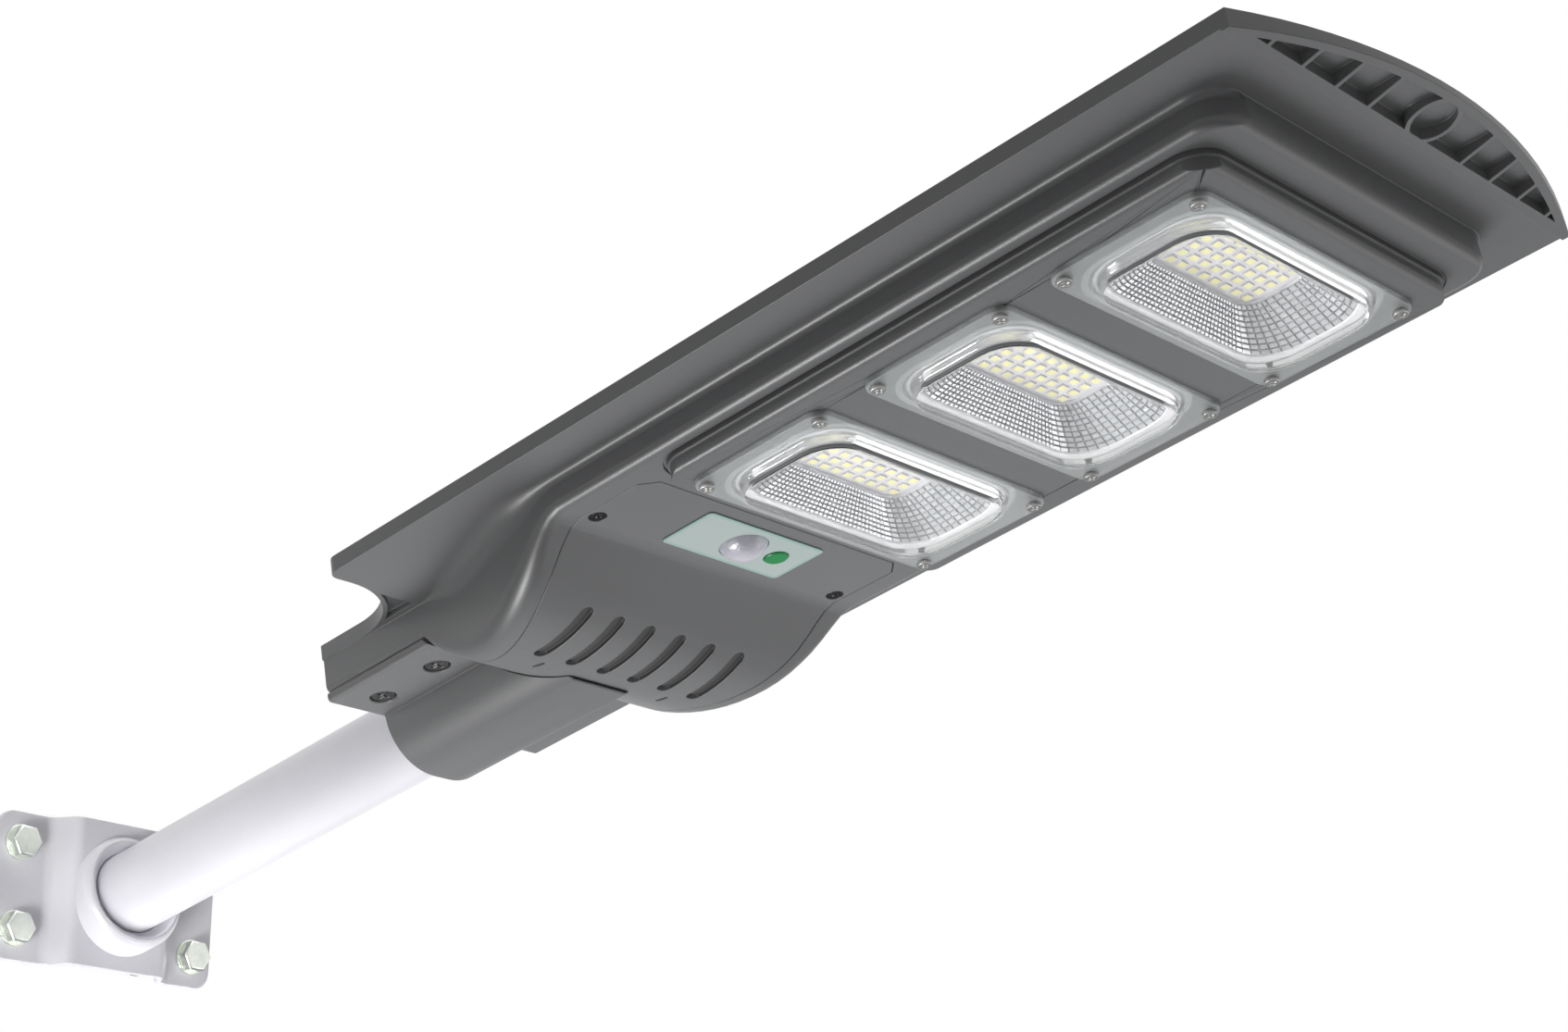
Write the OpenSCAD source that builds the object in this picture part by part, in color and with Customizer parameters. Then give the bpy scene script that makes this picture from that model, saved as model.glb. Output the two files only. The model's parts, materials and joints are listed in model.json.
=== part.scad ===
// Solar street lamp on a wall arm, in millimetres.
// The origin is the middle of the wall plate's back. X points away from the wall,
// Y to the lamp's left and Z up. The arm rises from the plate, and the head rides on the arm.
// Inside the head, x runs from the clamp to the nose, z = 0 is the LED deck and z points to the sky.

/* [Wall plate] */
// Width of the pressed steel plate
plate_w = 118; // [104:1:150]
// Height of the plate
plate_h = 66; // [56:1:90]
// Sheet thickness
plate_t = 3; // [2:0.5:4]
// Distance from the wall to the front of the raised middle
plate_raise = 15; // [11:1:22]
// Width of the raised middle at its front
face_w = 50; // [46:1:56]
// Sideways run of each sloping web
web_run = 7; // [4:1:9]
// Corner radius of the plate
plate_corner = 8; // [4:1:12]
// Distance between the wall bolts, sideways
bolt_span_y = 95; // [90:1:98]
// Distance between the wall bolts, up and down
bolt_span_z = 38; // [32:1:44]
// Diameter of the wall bolts
bolt_d = 8; // [6:1:10]
// Length of bolt behind the plate
bolt_reach = 40; // [25:1:60]

/* [Arm] */
// Outer diameter of the arm tube
arm_d = 36; // [30:1:38]
// Wall of the arm tube
arm_wall = 2; // [1.5:0.5:4]
// Free length of arm between the plate and the clamp
arm_reach = 210; // [120:1:400]
// Length of arm held in the clamp
arm_grip = 63; // [48:1:66]
// Upward slope of the arm in degrees
arm_tilt = 12; // [0:1:25]
// Height of the arm's axis above the LED deck
arm_z = 3; // [2:0.5:4]
// Outer diameter of the welded collar
collar_d = 52; // [46:1:56]
// Length of the collar along the arm
collar_l = 10; // [6:1:16]

/* [Head plan] */
// Half the width of the wings
wing_half = 104.5; // [100:0.5:120]
// Front end of the straight wing edge
wing_front = 157; // [150:1:170]
// Rear end of the straight wing edge
wing_rear = -262; // [-275:1:-260]
// How far the nose bulges past the wing front
nose_bulge = 20; // [12:1:26]
// Half the width of the body under the wings
body_half = 83; // [80:0.5:90]
// Front end of the body
body_front = 138; // [134:1:144]
// Half the width of the clamp block
block_half = 57; // [54:0.5:62]
// Rear end of the clamp block
block_rear = -321; // [-335:1:-315]
// Radius of the curve from wing to block
wing_cove = 35; // [20:1:40]

/* [Head levels] */
// Level of the flat tier round the LED deck
tier_z = 6.5; // [5:0.5:8]
// Underside of the wings
wing_z = 19; // [18:0.5:21]
// Thickness of the wing rim
rim_t = 6.5; // [6:0.5:9]
// Underside of the clamp block
block_z = 5; // [4:0.5:7]
// Wall of the moulded shells
wall = 2.5; // [2:0.5:3]

/* [Belly] */
// Radius of the battery belly, seen from the side
belly_r = 60; // [56:1:70]
// Lowest point of the belly along the head
belly_x = -217; // [-222:1:-212]
// Depth of the belly below the LED deck
belly_depth = 17.8; // [14:0.2:18]
// Edge radius along the belly
belly_edge = 9; // [5:1:10]
// Number of vent grooves
vent_count = 6; // [4:1:6]
// Distance between vent grooves
vent_pitch = 16.6; // [14:0.2:18]
// Width of a vent groove
vent_w = 6; // [4:0.5:8]
// Depth of a vent groove
vent_depth = 1.8; // [1:0.1:1.9]

/* [LED modules] */
// Distance between the modules
module_pitch = 81.4; // [78:0.2:82]
// Length of a lens flange across the head
lens_l = 131; // [128:1:134]
// Width of a lens flange along the head
lens_w = 64; // [61:1:68]
// Thickness of a lens
lens_t = 2; // [1.5:0.5:2.5]
// Height of the lens dome below the deck
dome_h = 6; // [4:0.5:8]
// Lens screws, distance across the head
screw_span_y = 121; // [119:0.5:123]
// Lens screws, distance along the head
screw_span_x = 54.3; // [53:0.1:56]
// Depth of the reflector bowl
bowl_h = 13; // [11:0.5:14]
// LEDs across the head
led_count_y = 9; // [5:1:10]
// LEDs along the head
led_count_x = 5; // [3:1:5]

/* [Sensor] */
// Place of the sensor along the head
sensor_x = -145.5; // [-147:0.5:-144]
// Diameter of the motion sensor's dome
pir_d = 19; // [16:0.5:21]
// Diameter of the push button
button_d = 9.4; // [8:0.2:10]
// Height of the motion sensor's dome
pir_h = 6; // [4:0.5:8]
// Distance from the dome to the button
button_y = 18; // [17.5:0.5:21]
// Travel of the button
button_travel = 1; // [0.6:0.1:1.2]

/* [Battery] */
// Diameter of a battery cell
cell_d = 18.4; // [17:0.1:18.6]
// Length of a battery cell
cell_l = 65; // [60:0.5:65]
// Number of cells
cell_count = 4; // [2:1:4]

/* [Hidden] */
$fn = 48;

// Colours
abs_grey = "dimgray";
coat_white = "whitesmoke";
zinc = "silver";
clear = [0.85, 0.9, 0.95, 0.4];

// Small clearances: running fit, sliding gap round a moving piece, gap between two shells, bonded gap
run_fit = 0.05;
move_gap = 0.3;
shell_gap = 0.25;
bond_gap = 0.1;
// Overlap that makes cuts run past a face
over = 1;

// Places in the arm's and the head's frames
arm_r = arm_d / 2;
head_x = arm_reach - block_rear;
rim_z = wing_z + rim_t;
arm_end = block_rear + arm_grip;

// Wall bolts: clearance in plate and washer, waist where they pass through
washer_t = 1.6;
bolt_slack = 0.5;
bolt_waist = 0.4;

// Nose wedge and its ribs
nose_x = wing_front + nose_bulge;
nose_r = (pow(wing_half, 2) + pow(nose_bulge, 2)) / (2 * nose_bulge);
nose_lip = 3;
lip_z = wing_z - 1;
nose_edge = 3;
nose_wall = 3.1;
nose_rear_wall = 1.5;
nose_skin = 2;
nose_rib_t = 1.8;
nose_rib_pitch = 18.9;
nose_rib_first = 1.5 * nose_rib_pitch;
nose_rib_count = 4;
nose_ring_r = 10;

// Shoulder where the body narrows to the clamp block, with its edge and cove radii
shoulder_x = -160;
tier_edge = 4;
block_edge = 3;
body_corner = 14;
cove_small = 0.4;
cove_body = 3;
cove_shoulder = 11;
blend = 10;
rear_blend = 0.4;
belly_zc = belly_r - belly_depth;
neck_x = belly_x - sqrt(pow(belly_r, 2) - pow(belly_zc - block_z, 2));
tongue_half = block_half + 2 * cove_small;

// LED deck
deck_edge_gap = 10;
deck_rear_gap = 4.5;
deck_half = lens_l / 2 + deck_edge_gap;
deck_front = module_pitch + lens_w / 2 + deck_edge_gap;
deck_rear = -module_pitch - lens_w / 2 - deck_rear_gap;
deck_mid = (deck_front + deck_rear) / 2;
deck_corner = 12;
deck_edge = 3;
bead_w = 0.8;
bead_h = 1.3;
moat_w = 1.4;
moat_d = 1.2;
module_x = [-module_pitch, 0, module_pitch];

// Solar panel laminate in its recess
seal_w = 1.5;
cavity_rear = belly_x - 33;
panel_front = body_front + 10;
panel_rear = cavity_rear - seal_w - 3;
panel_half = wing_half - 6.5;
panel_corner = 3;
glass_t = 3.2;
cell_t = 0.3;
sheet_t = 0.5;
recess_z = rim_z - glass_t - cell_t - sheet_t;
cells_x = 6;
cells_y = 2;
cell_gap = 2.5;
cell_margin = 6;

// Slots of the cover's clips, behind the vents
clip_slot = [6, 1.4, 4 * belly_depth];
clip_slot_back = 10;
clip_slot_y = 33.5;

// Rear cover and its screws
cover_front = deck_rear - 8;
cover_rear = cavity_rear - 2;
cover_strip = 12.5;
cover_chamfer = 6;
cover_screw_x = shoulder_x + 2.5;
cover_screw_y = body_half - 17.5;
cover_screw_d = 3.5;
screw_well_d = 7;
shelf_t = 3;
shelf_in = 25;
shelf_rear_gap = 8;

// Clamp
trough_half = 27.5;
trough_z = -20.7;
trough_r = 23.7;
trough_wall = 4;
trough_front = belly_x - 11;
ramp_l = 16;
ramp_h = 2.5;
flange_z = 1;
flange_edge = 2;
saddle_t = 5;
saddle_count = 3;
clamp_screw_d = 5;
clamp_head_d = 9.5;
clamp_head_h = 2;
clamp_screw_y = block_half - 17;
clamp_screw_in = 14;
clamp_screw_span = 32;
clamp_screw_x = [block_rear + clamp_screw_in, block_rear + clamp_screw_in + clamp_screw_span];
clamp_screw_l = 14;
clamp_well = 2.8;
well_slack = 0.6;

// Lens, reflector and LED board
lens_corner = 7;
dome_l = lens_l - 24;
dome_w = lens_w - 10;
dome_corner = 14;
dome_taper = 3;
gasket_w = 2.5;
gasket_t = 1.2;
lens_screw_d = 3;
lens_head_d = 5.6;
lens_head_h = 1.6;
screw_slack = 0.1;
boss_r = 3.5;
bowl_l = dome_l - 2;
bowl_w = dome_w - 2;
bowl_wall = 1.2;
bowl_rim = 1.5;
bowl_rim_t = 1.2;
base_l = 62;
base_w = 28;
base_corner = 4;
board_t = 1.6;
board_margin = 2;
led_pitch_y = base_l / (led_count_y + 0.6);
led_pitch_x = base_w / (led_count_x + 0.6);
led_size = [2.8, 3.5, 0.7];

// Battery tray and cells
tray_wall = 2;
tray_gap = 0.6;
cell_fit = 0.1;
cell_play = 0.2;
cell_step = cell_d + 0.8;
tray_half = cell_count * cell_step / 2 + tray_wall;
tray_rear = cavity_rear + tray_gap;
tray_front = tray_rear + cell_l + 2 * (tray_wall + cell_play);
cell_z = 8.5;
tray_floor = cell_z - cell_d / 2 - 1;
rib_t = 2;

// Sensor plate, dome, button and boards
plate_size = [26.5, 63, 0.6];
plate_round = 2;
pir_wall = 0.8;
pir_flange = 2;
pir_flange_t = 1;
button_flange = 1.3;
button_flange_t = 1;
button_proud = 0.7;
cover_in = tier_z + wall;
button_rest = cover_in + move_gap;
switch_gap = move_gap;
switch_h = 2.4;
switch_w = 6;
board_z = button_rest + button_flange_t + button_travel + switch_gap + switch_h;
board_front = cover_front - 4;
board_rear = tray_front + 2;
board_half = body_half - shelf_in - 4;
board_boss_in = 6;
pir_can_d = 9.2;
pir_can_h = 4.4;

// Leads and the parts on the board
lead_r = 0.8;
lead_z = board_z + board_t + 2.2;
connector = [6, 10, 4];
choke_d = 12;
choke_h = 3;
choke_at = [sensor_x - 8, -30];
chip_size = [8, 6, 1.6];
chip_at = [sensor_x - 4, -14];

// Frames: along the arm from the plate's face, and in the head
module on_arm() {
    translate([plate_raise, 0, 0]) rotate([0, -arm_tilt, 0]) children();
}

module in_head() {
    on_arm() translate([head_x, 0, -arm_z]) children();
}

// Rod along +x
module rod(r, l) {
    rotate([0, 90, 0]) cylinder(r = r, h = l);
}

// Rectangle with round corners, lengths along x and y
module round_rect(l, w, r) {
    square([l - 2 * r, w], center = true);
    square([l, w - 2 * r], center = true);
    for (sx = [-1, 1], sy = [-1, 1])
        translate([sx * (l / 2 - r), sy * (w / 2 - r)]) circle(r);
}

// Slab with round corners between two levels
module slab(l, w, r, z0, z1) {
    translate([0, 0, z0]) linear_extrude(z1 - z0) round_rect(l, w, r);
}

// Same outline as above with its lower edge rounded, bottom at z = 0
module soft_slab(l, w, h, corner, edge) {
    intersection() {
        linear_extrude(h) round_rect(l, w, corner);
        rotate([90, 0, 90]) linear_extrude(l + over, center = true)
            translate([0, h]) round_rect(w, 2 * h, edge);
        rotate([90, 0, 0]) linear_extrude(w + over, center = true)
            translate([0, h]) round_rect(l, 2 * h, edge);
    }
}

module mirror_y() {
    children();
    mirror([0, 1, 0]) children();
}

// Screw with a pan head below z = 0 and its shank above
module pan_screw(d, head_d, head_h, l) {
    translate([0, 0, -head_h]) difference() {
        cylinder(d = head_d, h = head_h);
        for (a = [0, 90])
            rotate([0, 0, a]) cube([head_d * 0.6, head_d * 0.14, head_h], center = true);
    }
    translate([0, 0, -over / 10]) cylinder(d = d, h = l);
}

// Curves of the moulded body, as functions of x
function ease(t) = t <= 0 ? 0 : t >= 1 ? 1 : t * t * (3 - 2 * t);
function soft_min(a, b, k) = min(a, b) - pow(max(k - abs(a - b), 0), 2) / (4 * k);
function rise(x, end, r) = x <= end - r ? 0 : r - sqrt(max(r * r - pow(x - end + r, 2), 0));
function on_shoulder(x) = ease((x - neck_x) / (shoulder_x - neck_x));
function on_belly(x) = ease((shoulder_x - x) / 30) * ease((x - neck_x) / 30);
function half_at(x) = block_half + (body_half - block_half) * on_shoulder(x) - rise(x, body_front, body_corner);
function belly_at(x) = abs(x - belly_x) < 0.95 * belly_r
    ? belly_zc - sqrt(pow(belly_r, 2) - pow(x - belly_x, 2)) : 3 * blend;
function flat_at(x) = x < belly_x ? block_z : tier_z + rise(x, body_front, tier_edge);
function bottom_at(x) = soft_min(flat_at(x), belly_at(x), x < belly_x ? rear_blend : blend);
function edge_at(x) = block_edge + (tier_edge - block_edge) * on_shoulder(x)
    + (belly_edge - tier_edge) * on_belly(x);
function cove_at(x) = cove_small + (cove_body - cove_small) * on_shoulder(x)
    + (cove_shoulder - cove_body) * on_belly(x);

// Half section of the body at x, from the middle of its bottom to the wing, drawn inwards by off
edge_steps = 5;
cove_steps = 4;
function edge_arc(w, b, r) = [for (i = [0 : edge_steps])
    let (a = 90 * i / edge_steps) [w - r + r * sin(a), b + r - r * cos(a)]];
function cove_arc(w, r) = [for (i = [0 : cove_steps])
    let (a = 90 * i / cove_steps) [w + r - r * cos(a), wing_z - r + r * sin(a)]];
function half_section(x, off, top) =
    let (w = half_at(x) - off, b = bottom_at(x) + off, r = max(edge_at(x) - off, 0.8))
    off <= 0 ? concat(edge_arc(w, b, r), cove_arc(w, cove_at(x)), [[w + cove_at(x), top]])
             : concat(edge_arc(w, b, r), [[w, top]]);
function full_section(x, off, top) =
    let (h = half_section(x, off, top), n = len(h))
    concat(h, [for (i = [n - 1 : -1 : 0]) [-h[i][0], h[i][1]]]);

// Stations along the head: close together where the body curves
shoulder_steps = 22;
corner_steps = 6;
function stations(rear, front) = concat(
    rear < neck_x ? [rear, (rear + neck_x) / 2] : [rear],
    [for (i = [0 : shoulder_steps])
        let (x = neck_x + (shoulder_x + 8 - neck_x) * i / shoulder_steps) if (x > rear + 1) x],
    [for (i = [0 : corner_steps])
        front - body_corner * (1 - sin(90 * i / corner_steps))]);

// Skin through all sections: one closed solid
module loft(rings) {
    n = len(rings[0]);
    m = len(rings);
    points = [for (ring = rings) each ring];
    sides = [for (i = [0 : m - 2], j = [0 : n - 1])
        let (a = i * n + j, b = i * n + (j + 1) % n)
        each [[a, b + n, b], [a, a + n, b + n]]];
    ends = [[for (j = [0 : n - 1]) j], [for (j = [n - 1 : -1 : 0]) (m - 1) * n + j]];
    polyhedron(points, concat(sides, ends));
}

// Body below the wings; off draws it inwards, top is where its sides end
module body_form(off, top, rear, front) {
    loft([for (x = stations(rear, front))
        [for (p = full_section(x, off, top)) [x, p[0], p[1]]]]);
}

module body_outer(off = 0) {
    body_form(off, wing_z + 1, block_rear, body_front);
}

module body_inner() {
    body_form(wall, rim_z + over, cavity_rear, body_front - wall);
}

// Plan of the wings and the rear tongue; the front ends inside the nose's lip
module wing_plan() {
    wing_corner = 5;
    front = wing_front - over;
    translate([(wing_rear + front) / 2, 0]) round_rect(front - wing_rear, 2 * wing_half, wing_corner);
    translate([front - 2 * wing_corner, -wing_half]) square([2 * wing_corner, 2 * wing_half]);
    translate([block_rear, -tongue_half]) square([wing_rear - block_rear + over, 2 * tongue_half]);
    mirror_y() cove_plan(0);
}

// Plan of the nose from the given x to its arc, drawn inwards by off
module nose_plan(rear, off) {
    intersection() {
        translate([nose_x - nose_r, 0]) circle(nose_r - off, $fn = 180);
        translate([rear, -wing_half]) square([nose_x + over - rear, 2 * wing_half]);
    }
}

// Curved web between the tongue and one wing, drawn inwards by off
module cove_plan(off) {
    difference() {
        translate([wing_rear - wing_cove, tongue_half - over + off])
            square([wing_cove + over - off, wing_cove + over - off]);
        translate([wing_rear - wing_cove, tongue_half + wing_cove]) circle(wing_cove + off);
    }
}

// Wedge of the nose: its underside rises from the lip to the front edge
module nose() {
    intersection() {
        rotate([90, 0, 0]) linear_extrude(2 * wing_half + over, center = true)
            polygon([[wing_front - nose_lip, lip_z], [wing_front - over, lip_z],
                [nose_x + over, rim_z - nose_edge], [nose_x + over, rim_z], [wing_front - nose_lip, rim_z]]);
        translate([0, 0, lip_z - over]) linear_extrude(rim_z - lip_z + 2 * over)
            nose_plan(wing_front - nose_lip - over, 0);
    }
}

// Ribbed pocket in the nose's underside
module nose_pocket() {
    difference() {
        translate([0, 0, lip_z - over]) linear_extrude(rim_z - nose_skin - lip_z + over)
            nose_plan(wing_front + nose_rear_wall, nose_wall);
        for (i = [0 : nose_rib_count - 1], s = [-1, 1])
            translate([wing_front, s * (nose_rib_first + i * nose_rib_pitch) - nose_rib_t / 2, lip_z - over])
                cube([nose_bulge, nose_rib_t, rim_t + 2 * over]);
        translate([wing_front + nose_ring_r - 1, 0, lip_z - over]) difference() {
            cylinder(r = nose_ring_r, h = rim_t + 2 * over);
            translate([0, 0, -over]) cylinder(r = nose_ring_r - nose_rib_t, h = rim_t + 4 * over);
        }
    }
}

// Pocket under the curved web at the rear of a wing
module cove_pocket() {
    cove_wall = 2;
    translate([0, 0, wing_z - over]) linear_extrude(over + rim_t - 2 * cove_wall)
        intersection() {
            cove_plan(cove_wall);
            translate([wing_rear - wing_cove, tongue_half + cove_wall])
                square([wing_cove - cove_wall, wing_cove]);
        }
}

// Plan of the rear cover, grown by off
function cover_half_at(x) = half_at(x) - cover_strip;
module cover_plan(off) {
    steps = 14;
    front = cover_front + off;
    rear = cover_rear - off;
    side = [for (i = [0 : steps])
        let (x = front - cover_chamfer + (rear - front + cover_chamfer) * i / steps) [x, cover_half_at(x) + off]];
    half = concat([[front, cover_half_at(front) + off - cover_chamfer]], side);
    polygon(concat(half, [for (i = [len(half) - 1 : -1 : 0]) [half[i][0], -half[i][1]]]));
}

module cover_prism(off) {
    translate([0, 0, -belly_depth - belly_edge])
        linear_extrude(belly_depth + belly_edge + cover_in + bond_gap) cover_plan(off);
}

// LED deck: the lowest tier, with a bead round its foot
module deck() {
    translate([deck_mid, 0, 0])
        soft_slab(deck_front - deck_rear, 2 * deck_half, tier_z + over, deck_corner, deck_edge);
    translate([0, 0, tier_z - bead_h]) linear_extrude(bead_h + over) deck_plan(bead_w);
}

module deck_plan(off) {
    translate([deck_mid, 0])
        round_rect(deck_front - deck_rear + 2 * off, 2 * (deck_half + off), deck_corner + off);
}

module deck_cavity() {
    translate([0, 0, wall]) linear_extrude(cover_in + over - wall) deck_plan(-wall);
}

module at_modules() {
    for (x = module_x) translate([x, 0, 0]) children();
}

module at_lens_screws() {
    for (sx = [-1, 1], sy = [-1, 1]) translate([sx * screw_span_x / 2, sy * screw_span_y / 2, 0]) children();
}

module at_clamp_screws() {
    for (x = clamp_screw_x, sy = [-1, 1]) translate([x, sy * clamp_screw_y, 0]) children();
}

module panel_outline(off) {
    translate([(panel_front + panel_rear) / 2, 0])
        round_rect(panel_front - panel_rear + 2 * off, 2 * (panel_half + off), panel_corner + off);
}

module panel_layer(z, t) {
    translate([0, 0, z]) linear_extrude(t) panel_outline(0);
}

// Wall side

module wall_plate() {
    web_len = norm([plate_raise - plate_t, web_run]);
    tuck = plate_t * (web_len - web_run) / (plate_raise - plate_t);
    foot = face_w / 2 + web_run;
    side = [[0, foot - tuck], [0, plate_w / 2], [plate_t, plate_w / 2], [plate_t, foot], [plate_raise, face_w / 2]];
    inner = [plate_raise - plate_t, face_w / 2 - tuck];
    color(coat_white) difference() {
        intersection() {
            linear_extrude(plate_h, center = true)
                polygon(concat([inner], side, [for (i = [len(side) - 1 : -1 : 0]) [side[i][0], -side[i][1]]],
                    [[inner[0], -inner[1]]]));
            rotate([90, 0, 90]) linear_extrude(plate_raise + over) round_rect(plate_w, plate_h, plate_corner);
        }
        at_wall_bolts() translate([-over, 0, 0]) rod(bolt_d / 2 + bolt_slack, plate_t + 2 * over);
    }
}

module at_wall_bolts() {
    for (sy = [-1, 1], sz = [-1, 1]) translate([0, sy * bolt_span_y / 2, sz * bolt_span_z / 2]) children();
}

module bolt_washers() {
    color(zinc) at_wall_bolts() translate([plate_t, 0, 0]) difference() {
        rod(bolt_d, washer_t);
        translate([-over, 0, 0]) rod(bolt_d / 2 + bolt_slack / 2, washer_t + 2 * over);
    }
}

module wall_bolts() {
    head_h = 0.66 * bolt_d;
    head_at = plate_t + washer_t;
    color(zinc) at_wall_bolts() {
        translate([-bolt_reach, 0, 0]) rod(bolt_d / 2, bolt_reach);
        translate([-over, 0, 0]) rod(bolt_d / 2 - bolt_waist, head_at + 2 * over);
        translate([head_at, 0, 0]) rotate([0, 90, 0]) cylinder(d = 1.87 * bolt_d, h = head_h, $fn = 6);
    }
}

// Keeps only what lies in front of the plate's face
module before_plate() {
    difference() {
        children();
        translate([plate_raise - 2 * collar_d, -collar_d, -collar_d]) cube([2 * collar_d, 2 * collar_d, 2 * collar_d]);
    }
}

module arm_tube() {
    color(coat_white) before_plate() on_arm() translate([-arm_d, 0, 0]) difference() {
        rod(arm_r, arm_d + arm_reach + arm_grip);
        translate([-over, 0, 0]) rod(arm_r - arm_wall, arm_d + arm_reach + arm_grip + 2 * over);
    }
}

module weld_collar() {
    bore = arm_r + run_fit;
    out = collar_d / 2;
    ring = out - bore;
    color(coat_white) before_plate() on_arm() rotate([0, 90, 0]) rotate_extrude()
        polygon([[bore, -out], [out, -out], [out, collar_l - ring / 3], [out - ring / 4, collar_l],
            [out - ring / 2, collar_l], [bore + ring / 6, collar_l - ring / 2], [bore, collar_l - ring / 2]]);
}

// Head shells

module main_housing() {
    color(abs_grey) in_head() difference() {
        union() {
            difference() {
                union() {
                    translate([0, 0, wing_z]) linear_extrude(rim_t) wing_plan();
                    nose();
                    body_outer();
                    deck();
                }
                body_inner();
                deck_cavity();
                nose_pocket();
                mirror_y() cove_pocket();
                translate([0, 0, recess_z]) linear_extrude(rim_t) panel_outline(seal_w);
                translate([0, 0, tier_z - over]) linear_extrude(over + moat_d) difference() {
                    deck_plan(bead_w + moat_w);
                    deck_plan(bead_w);
                }
                cover_prism(shell_gap);
                at_modules() slab(bowl_w + 2 * bond_gap, bowl_l + 2 * bond_gap, dome_corner, -over, wall + over);
                at_modules() slab(bowl_w + 2 * bowl_rim + 2 * bond_gap, bowl_l + 2 * bowl_rim + 2 * bond_gap,
                    dome_corner + bowl_rim, -over, bowl_rim_t + bond_gap);
                at_modules() translate([0, 0, -over]) linear_extrude(over + gasket_t) gasket_plan(bond_gap);
            }
            at_modules() at_lens_screws() translate([0, 0, wall - over / 2]) cylinder(r = boss_r, h = tier_z - wall);
            mirror_y() cover_shelf();
        }
        translate([block_rear - over, 0, arm_z]) rod(arm_r + run_fit, arm_grip + over + move_gap);
        at_modules() at_lens_screws() translate([0, 0, -over]) cylinder(d = lens_screw_d + 2 * screw_slack, h = tier_z);
        mirror_y() translate([cover_screw_x, cover_screw_y, cover_in - over])
            cylinder(d = cover_screw_d + 2 * screw_slack, h = shelf_t + 2 * over);
        at_clamp_screws() translate([0, 0, block_z - over])
            cylinder(d = clamp_screw_d + 2 * screw_slack, h = clamp_screw_l);
    }
}

// Shelf inside the side wall that the rear cover is screwed to
module cover_shelf() {
    rear = board_rear + shelf_rear_gap;
    translate([rear, body_half - shelf_in, cover_in + bond_gap])
        cube([cover_front - rear - over, shelf_in - wall / 2, shelf_t]);
}

module rear_cover() {
    color(abs_grey) in_head() difference() {
        union() {
            difference() {
                intersection() {
                    body_outer();
                    cover_prism(0);
                }
                body_inner();
            }
            intersection() {
                body_outer(over / 2);
                union() {
                    at_board_bosses() cylinder(r = boss_r, h = board_z - tier_z + 2 * belly_depth);
                    at_tray_ribs() translate([0, -tray_half, 0])
                        cube([rib_t, 2 * tray_half, tray_floor + 2 * belly_depth]);
                }
            }
        }
        vents();
        translate([sensor_x, 0, -over]) cylinder(d = pir_d + 2 * bond_gap, h = cover_in + 2 * over);
        translate([sensor_x, button_y, -over]) cylinder(d = button_d + 2 * move_gap, h = cover_in + 2 * over);
        mirror_y() translate([cover_screw_x, cover_screw_y, -over]) {
            cylinder(d = cover_screw_d + 2 * screw_slack, h = cover_in + 2 * over);
            cylinder(d = screw_well_d, h = tier_z + over + wall / 2);
        }
    }
}

module at_board_bosses() {
    for (x = [board_rear + board_boss_in, board_front - board_boss_in], sy = [-1, 1])
        translate([x, sy * (board_half - board_boss_in), tier_z - 2 * belly_depth]) children();
}

module at_tray_ribs() {
    for (x = [belly_x - belly_r / 4, belly_x + belly_r / 4 - rib_t])
        translate([x, 0, -2 * belly_depth]) children();
}

// Blind grooves and clip slots that follow the belly
module vents() {
    vent_rear = belly_x - 3;
    vent_front = belly_x + 28;
    intersection() {
        translate([belly_x, 0, belly_zc]) rotate([90, 0, 0]) difference() {
            cylinder(r = belly_r + 2 * over, h = 2 * body_half, center = true, $fn = 120);
            cylinder(r = belly_r - vent_depth, h = 2 * body_half + over, center = true, $fn = 120);
        }
        union() {
            for (i = [0 : vent_count - 1])
                translate([(vent_rear + vent_front) / 2, (i - (vent_count - 1) / 2) * vent_pitch, -2 * belly_depth])
                    linear_extrude(3 * belly_depth) round_rect(vent_front - vent_rear, vent_w, vent_w / 2 - 0.01);
            mirror_y() translate([belly_x - clip_slot_back, clip_slot_y, 0]) cube(clip_slot, center = true);
        }
    }
}

module cover_screws() {
    color(zinc) in_head() mirror_y() translate([cover_screw_x, cover_screw_y, tier_z + wall / 2])
        pan_screw(cover_screw_d, screw_well_d - 1, 1, wall / 2 + shelf_t);
}

// Trough half of the arm clamp with its flanges and saddles
module trough_plan(half, low, r) {
    translate([0, (block_z + low) / 2]) intersection() {
        translate([0, (block_z - low) / 2]) round_rect(2 * half, 2 * (block_z - low), r);
        translate([-half, -(block_z - low) / 2]) square([2 * half, block_z - low]);
    }
}

module along_head(x0, x1) {
    translate([x0, 0, 0]) rotate([90, 0, 90]) linear_extrude(x1 - x0) children();
}

// Room for the clamp block and the belly above the trough
module clamp_seat() {
    gap = bond_gap + rear_blend / 4;
    translate([block_rear - over, -body_half, block_z - gap])
        cube([trough_front - block_rear + 2 * over, 2 * body_half, belly_r]);
    translate([belly_x, 0, belly_zc]) rotate([90, 0, 0])
        cylinder(r = belly_r + gap, h = 2 * body_half, center = true, $fn = 120);
}

// What the trough's underside leaves free: it rises towards the belly
module trough_ramp() {
    rotate([90, 0, 0]) linear_extrude(2 * trough_half, center = true) polygon([
        [trough_front - ramp_l, trough_z], [trough_front + over, trough_z + ramp_h],
        [trough_front + over, trough_z - over], [trough_front - ramp_l, trough_z - over]]);
}

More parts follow.
